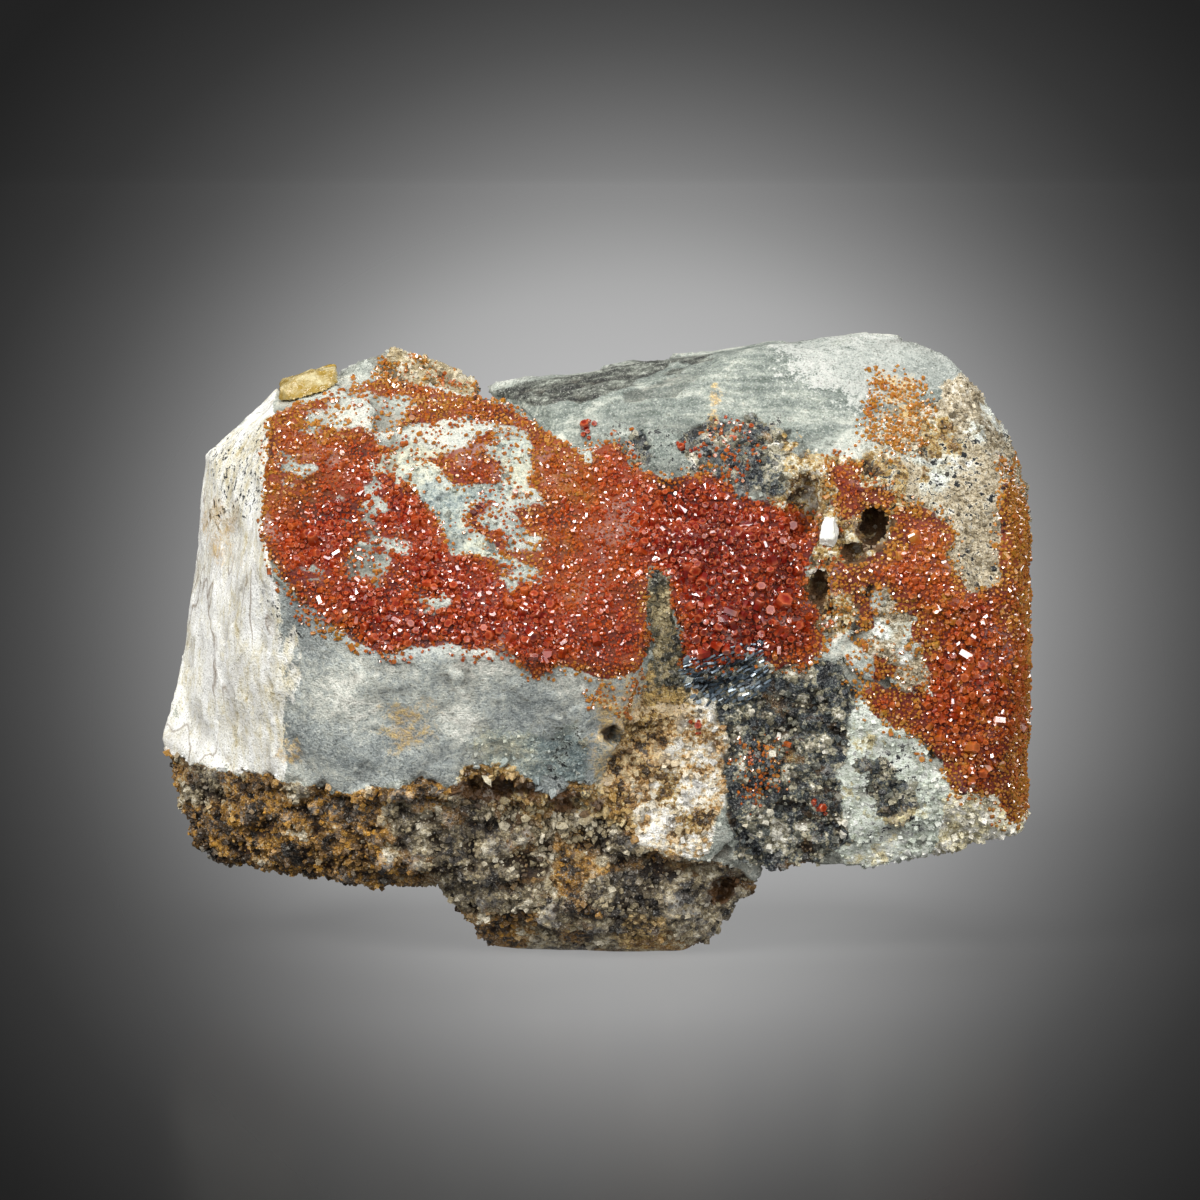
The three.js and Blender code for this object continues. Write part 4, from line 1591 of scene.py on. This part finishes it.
@dataclass
class LooseCrystal:
    """A single crystal out on the bare rock."""

    name: str
    node: str
    radius: float = 0.5 * MM

    def build(self, skin: Skin, material: bpy.types.Material, seed: int) -> None:
        """Puts the crystal, with a few small ones by it, on the rock where the part has it.

        Args:
            skin: the rock's surface.
            material: the crystals' material.
            seed: what makes it the same in every run.
        """
        low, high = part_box(self.node)
        middle = np.array((low + high) / 2)
        nearest = np.argsort(np.linalg.norm(skin.middles - middle, axis=1))
        random = np.random.default_rng(seed)
        picked = np.concatenate([nearest[:1], nearest[12:60:11]])
        radius = self.radius * np.concatenate([[1.0], random.uniform(0.35, 0.6, len(picked) - 1)])
        axes = axes_along(skin.normals[picked], 0.25, random)
        sizes = np.stack([radius, radius, radius * 1.5], axis=1)
        middles = skin.middles[picked] + axes[:, 2] * (radius * 0.4)[:, None]
        places = Places(middles, axes, sizes, {"tone": random.uniform(0.15, 0.45, len(picked))})
        dress(places.build(self.name, Form.bevelled(), 0.05, seed), material, "vanadinite", self.node)


@dataclass
class Grains:
    """Angular grains that make part of the rock's surface grainy."""

    name: str
    shares: dict[Zone, float]
    size: tuple[float, float]
    spacing: float
    seed: int
    form: Callable[[], Form] = Form.block
    long: float = 1.0
    lean: float = 0.8
    uneven: float = 0.35

    def build(self, skin: Skin, material: bpy.types.Material) -> None:
        """Spreads the grains over the front of their zones.

        Args:
            skin: the rock's surface.
            material: the grains' material.
        """
        wanted = np.zeros(len(skin.middles))
        for zone, share in self.shares.items():
            wanted = np.maximum(wanted, share * skin.share(zone))
        wanted *= (1 - skin.share(Zone.CRUST)) * (1 - 0.6 * skin.share(Zone.HOLLOW))
        wanted *= (skin.normals[:, 1] < 0.3) & (skin.middles[:, 1] < 8 * MM) & (skin.middles[:, 2] > 0.6 * MM)
        chosen, spots = skin.spread(np.full(len(wanted), self.spacing * MM), wanted, self.seed)
        random = np.random.default_rng(self.seed + 1)
        radius = self.size[0] * (self.size[1] / self.size[0]) ** (random.random(len(chosen)) ** 1.7) * MM
        axes = axes_along(skin.normals[chosen], self.lean, random)
        length = radius * 2 * self.long * random.uniform(0.6, 1.2, len(chosen))
        sizes = np.stack([radius, radius * random.uniform(0.6, 1.0, len(chosen)), length], axis=1)
        middles = spots + axes[:, 2] * (length * 0.1)[:, None]
        stored = {zone.value: skin.share(zone)[chosen] for zone in Zone}
        stored["tone"] = np.clip(random.normal(0.5, 0.16, len(chosen)), 0, 1)
        stored["rise"] = np.full(len(chosen), 0.55)
        stored["spot"] = spots
        piece = Places(middles, axes, sizes, stored).build(self.name, self.form(), self.uneven, self.seed + 2)
        dress(piece, material, "rock")


@dataclass
class Blades:
    """The stacked metallic blades under the middle of the crust."""

    node: str = "dark_metallic_blades"
    spacing: float = 0.4 * MM
    seed: int = 71

    def build(self, skin: Skin, tree: BVHTree) -> None:
        """Stands the blades where the part has them.

        Args:
            skin: the rock's surface.
            tree: the part's blades as a search tree.
        """
        finish = GrainFinish("bright_lead_grey", (tint("232B33"), tint("5F6E7A"), tint("B4C2CC")), 0.35, 0.5)
        wanted = 1.0 * (skin.distances(tree, *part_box(self.node), 1.2 * MM) < 1.2)
        chosen, spots = skin.spread(np.full(len(wanted), self.spacing), wanted, self.seed)
        random = np.random.default_rng(self.seed)
        long = np.array([0.8, -0.2, 0.5]) + 0.22 * random.normal(0, 1, (len(chosen), 3))
        long /= np.linalg.norm(long, axis=1, keepdims=True)
        across = np.cross(np.array([0.1, -0.9, 0.3]) + 0.4 * random.normal(0, 1, (len(chosen), 3)), long)
        across /= np.linalg.norm(across, axis=1, keepdims=True)
        axes = np.stack([long, across, np.cross(long, across)], axis=1)
        ranges = ((0.2, 0.45), (0.05, 0.12), (0.2, 0.4))
        sizes = np.stack([random.uniform(*span, len(chosen)) * MM for span in ranges], axis=1)
        middles = spots + skin.normals[chosen] * 0.2 * MM
        places = Places(middles, axes, sizes, {"tone": random.random(len(chosen))})
        piece = places.build("metal_blades", Form.block(), 0.12, self.seed)
        dress(piece, finish.material(), "dark_metal", self.node)


@dataclass
class ClearCrystal:
    """A see-through crystal, broken and cracked, that takes its shape from the part."""

    name: str
    node: str
    finish: ClearFinish
    voxel: float = 0.16 * MM
    roughness: float = 0.12

    def build(self, source: bpy.types.Object) -> None:
        """Makes the crystal.

        Args:
            source: the part's node.
        """
        crystal = remeshed(self.name, source, self.voxel)
        applied(crystal)
        mesh = crystal.data
        points, normals = arrays(mesh)
        height = Noise(5).facets(points, 0.9, self.roughness) + 0.12 * Noise(6).layered(points, 0.8)
        mesh.vertices.foreach_set("co", ((points + normals * height[:, None]) * MM).astype(np.float32).ravel())
        mesh.update()
        mesh.shade_flat()
        dress(crystal, self.finish.material(), self.finish.name, self.node)


@dataclass
class Lamp:
    """A round light that points at the rock."""

    name: str
    at: tuple[float, float, float]
    size: float
    power: float
    colour: tuple[float, float, float] = (1, 1, 1)

    def build(self, target: Vector) -> None:
        """Hangs the light.

        Args:
            target: where it points.
        """
        data = bpy.data.lights.new(self.name, "AREA")
        data.shape, data.size = "DISK", self.size
        data.energy, data.color = self.power, self.colour
        lamp = bpy.data.objects.new(self.name, data)
        lamp.location = self.at
        lamp.rotation_euler = (target - Vector(self.at)).to_track_quat("-Z", "Y").to_euler()
        bpy.context.scene.collection.objects.link(lamp)


@dataclass
class Studio:
    """The paper sweep with a painted pool of light on it, the lights and the camera."""

    target: Vector = field(default_factory=lambda: Vector((0, 0, 0.0345239)))
    camera_at: tuple[float, float, float] = (0, -0.59088, 0.13871)
    lens: float = 180
    wall: float = 0.8
    bend: float = 0.08
    paper_reach: float = 2.0
    ambient: float = 0.18
    lamps: tuple[Lamp, ...] = (
        Lamp("key", (-0.55, -0.5, 0.55), 0.36, 7.5, (1, 0.985, 0.96)),
        Lamp("soft_box", (0.1, -0.75, 0.7), 0.7, 2.0),
        Lamp("fill", (0.55, -0.6, 0.4), 0.36, 3.6),
        Lamp("top", (0.05, 0.1, 0.8), 0.4, 3.0),
        Lamp("glint_left", (-0.3, -0.75, 0.3), 0.07, 0.4),
        Lamp("glint_right", (0.25, -0.75, 0.45), 0.07, 0.4),
        Lamp("glint_high", (-0.05, -0.6, 0.65), 0.07, 0.5),
        Lamp("glint_low", (0.02, -0.8, 0.2), 0.06, 0.3),
        Lamp("glint_side", (0.45, -0.45, 0.65), 0.07, 0.4),
    )

    def build(self) -> None:
        """Makes everything round the rock."""
        scene = bpy.context.scene
        scene.view_settings.view_transform = "Standard"
        world = bpy.data.worlds.new("studio")
        world.use_nodes = True
        world.node_tree.nodes["Background"].inputs["Color"].default_value = (0.9, 0.95, 1, 1)
        world.node_tree.nodes["Background"].inputs["Strength"].default_value = self.ambient
        scene.world = world
        for lamp in self.lamps:
            lamp.build(self.target)
        self.sweep()
        data = bpy.data.cameras.new("camera")
        data.lens, data.sensor_width = self.lens, 36
        data.clip_start, data.clip_end = 0.01, 20
        camera = bpy.data.objects.new("camera", data)
        camera.location = self.camera_at
        camera.rotation_euler = (self.target - Vector(self.camera_at)).to_track_quat("-Z", "Y").to_euler()
        scene.collection.objects.link(camera)
        scene.camera = camera

    def sweep(self) -> None:
        """Lays the paper: a floor that curves up into a wall behind the rock."""
        turns = [math.pi / 2 * i / 12 for i in range(13)]
        front, reach = self.wall - self.bend, self.paper_reach
        curve = [(front + self.bend * math.sin(turn), self.bend * (1 - math.cos(turn))) for turn in turns]
        profile = [(-reach, 0.0), *curve, (self.wall, reach)]
        corners = [(x, y, z) for y, z in profile for x in (-reach, reach)]
        faces = [(2 * i, 2 * i + 1, 2 * i + 3, 2 * i + 2) for i in range(len(profile) - 1)]
        mesh = bpy.data.meshes.new("paper_sweep")
        mesh.from_pydata(corners, [], faces)
        mesh.shade_smooth()
        sweep = bpy.data.objects.new("paper_sweep", mesh)
        bpy.context.scene.collection.objects.link(sweep)
        mesh.materials.append(self.paper())

    def paper(self) -> bpy.types.Material:
        """Makes the paper with a painted pool of light on it, light in the middle and dark all round; the paper also
        glows with it.

        Returns:
            The material.
        """
        s = Shader("paper_with_painted_glow")
        axes = s.add("ShaderNodeSeparateXYZ", {}, {0: s.place()})
        across, along, up = (Link(s, axes.socket.node.outputs[i]) for i in range(3))
        ahead, down = 0.985, 0.174  # the cosine and sine of the camera's tilt
        far, under = 0.606, 0.034  # how far the rock's base is from the camera, and under its line of sight
        right, low, spread = 0.005, 0.0045, 0.14  # the light patch's middle and radius, as the camera sees them
        deep = far + along * ahead - up * down
        sideways = across / deep - right
        upwards = (along * down + up * ahead - under) / deep + low
        away = (sideways * sideways + upwards * upwards) ** 0.5
        stops = (
            (0.0, "B4B4B4"),
            (0.3, "AEAEAE"),
            (0.41, "A0A0A0"),
            (0.5, "838383"),
            (0.6, "636363"),
            (0.7, "474747"),
            (0.82, "303030"),
            (1.0, "1A1A1A"),
        )
        # Painted light: a pool of light painted on the paper, bright in the middle and dark all round, laid out as the
        # camera sees it.
        painted_light_pool = s.ramp(away / spread, *[(place, tint(code)) for place, code in stops])
        black = tint("000000")
        # The paper glows with the painted pool, from 80 per cent of it near the rock to all of it further back, and
        # takes a quarter of it as the colour the lamps light.
        return s.finish(
            {
                "Base Color": s.mixed(0.25, black, painted_light_pool),
                "Roughness": 0.2,
                "Emission Color": s.mixed(0.8 + along.stretched(0.15, 0.5) * 0.2, black, painted_light_pool),
                "Emission Strength": 1.0,
                "IOR": 1.05,
            }
        )


def search_tree(thing: bpy.types.Object) -> BVHTree:
    """Makes a search tree of an object's mesh."""
    corners = [vertex.co for vertex in thing.data.vertices]
    return BVHTree.FromPolygons(corners, [list(face.vertices) for face in thing.data.polygons])


CRUSTS: tuple[Crust, ...] = (
    Crust("crystals_left_and_centre", "vanadinite_crust_left_and_centre", 11),
    Crust("crystals_right", "vanadinite_crust_right", 12, brighter=0.2),
    Crust("crystals_tuft_top_right", "vanadinite_tuft_top_right", 13, 0.16, 0.9, density=0.85),
    Crust("crystals_strip_above_vug", "vanadinite_strip_above_vug", 14, 0.2, 0.6),
    Crust("crystals_sprig_upper_middle", "vanadinite_sprig_upper_middle", 15, 0.24, 0.3, density=0.4),
    Crust("crystals_streak_lower_middle", "vanadinite_streak_lower_middle", 16, 0.2, 0.45, density=0.3),
)
LOOSE: tuple[LooseCrystal, ...] = (
    LooseCrystal("loose_crystal_upper_left", "vanadinite_crystal_upper_left"),
    LooseCrystal("loose_crystal_upper_middle", "vanadinite_crystal_upper_middle", 0.4 * MM),
    LooseCrystal("loose_crystal_low_left", "vanadinite_crystal_low_left", 0.4 * MM),
    LooseCrystal("loose_crystal_low_right", "vanadinite_crystal_low_right", 0.45 * MM),
)
GRAINS: tuple[Grains, ...] = (
    Grains("comb_druse", {Zone.COMB: 1.0}, (0.16, 0.5), 0.42, 30, Form.pointed, 1.5, 0.5, 0.08),
    Grains(
        "rock_grains_low",
        {Zone.GOSSAN: 0.55, Zone.FOOT: 0.5, Zone.BLACK: 0.7, Zone.CREAM: 0.8, Zone.BEIGE: 0.5},
        (0.08, 0.32),
        0.42,
        31,
    ),
    Grains(
        "rock_grains_high",
        {Zone.SUGAR: 0.7, Zone.MINT: 0.15, Zone.VUGGY: 0.7, Zone.CREVICE: 0.5, Zone.TAN: 0.4, Zone.ISLAND: 0.1},
        (0.08, 0.26),
        0.4,
        32,
    ),
)
CLEAR_CRYSTALS: tuple[ClearCrystal, ...] = (
    ClearCrystal(
        "honey_crystal_broken", "honey_crystal", ClearFinish("honey_crystal", tint("AC8E44"), tint("D6CBA0"), 0.25)
    ),
    ClearCrystal(
        "white_crystal",
        "white_crystal_in_vug",
        ClearFinish("white_crystal", tint("EDEBE0"), tint("FFFFFF"), 0.35),
        0.1 * MM,
        0.06,
    ),
)


def main() -> None:
    """Builds the studio, the rock and everything on it."""
    logging.basicConfig(level=logging.INFO, format="%(name)s: %(message)s")
    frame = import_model()
    nodes = frame["nodes"]
    Studio().build()
    trees = {crust.node: search_tree(nodes[crust.node]) for crust in CRUSTS}
    rocky = RockFinish().material()
    dense = {crust.node: trees[crust.node] for crust in CRUSTS if crust.density == 1}
    skin = Rock().build(nodes["matrix"], dense, rocky)
    red = CrystalFinish().material()
    for crust in CRUSTS:
        crust.build(skin, trees[crust.node], red)
    for index, crystal in enumerate(LOOSE):
        crystal.build(skin, red, 50 + index)
    for grains in GRAINS:
        grains.build(skin, rocky)
    blades = Blades()
    blades.build(skin, search_tree(nodes[blades.node]))
    for clear in CLEAR_CRYSTALS:
        clear.build(nodes[clear.node])


if __name__ == "__main__":
    main()
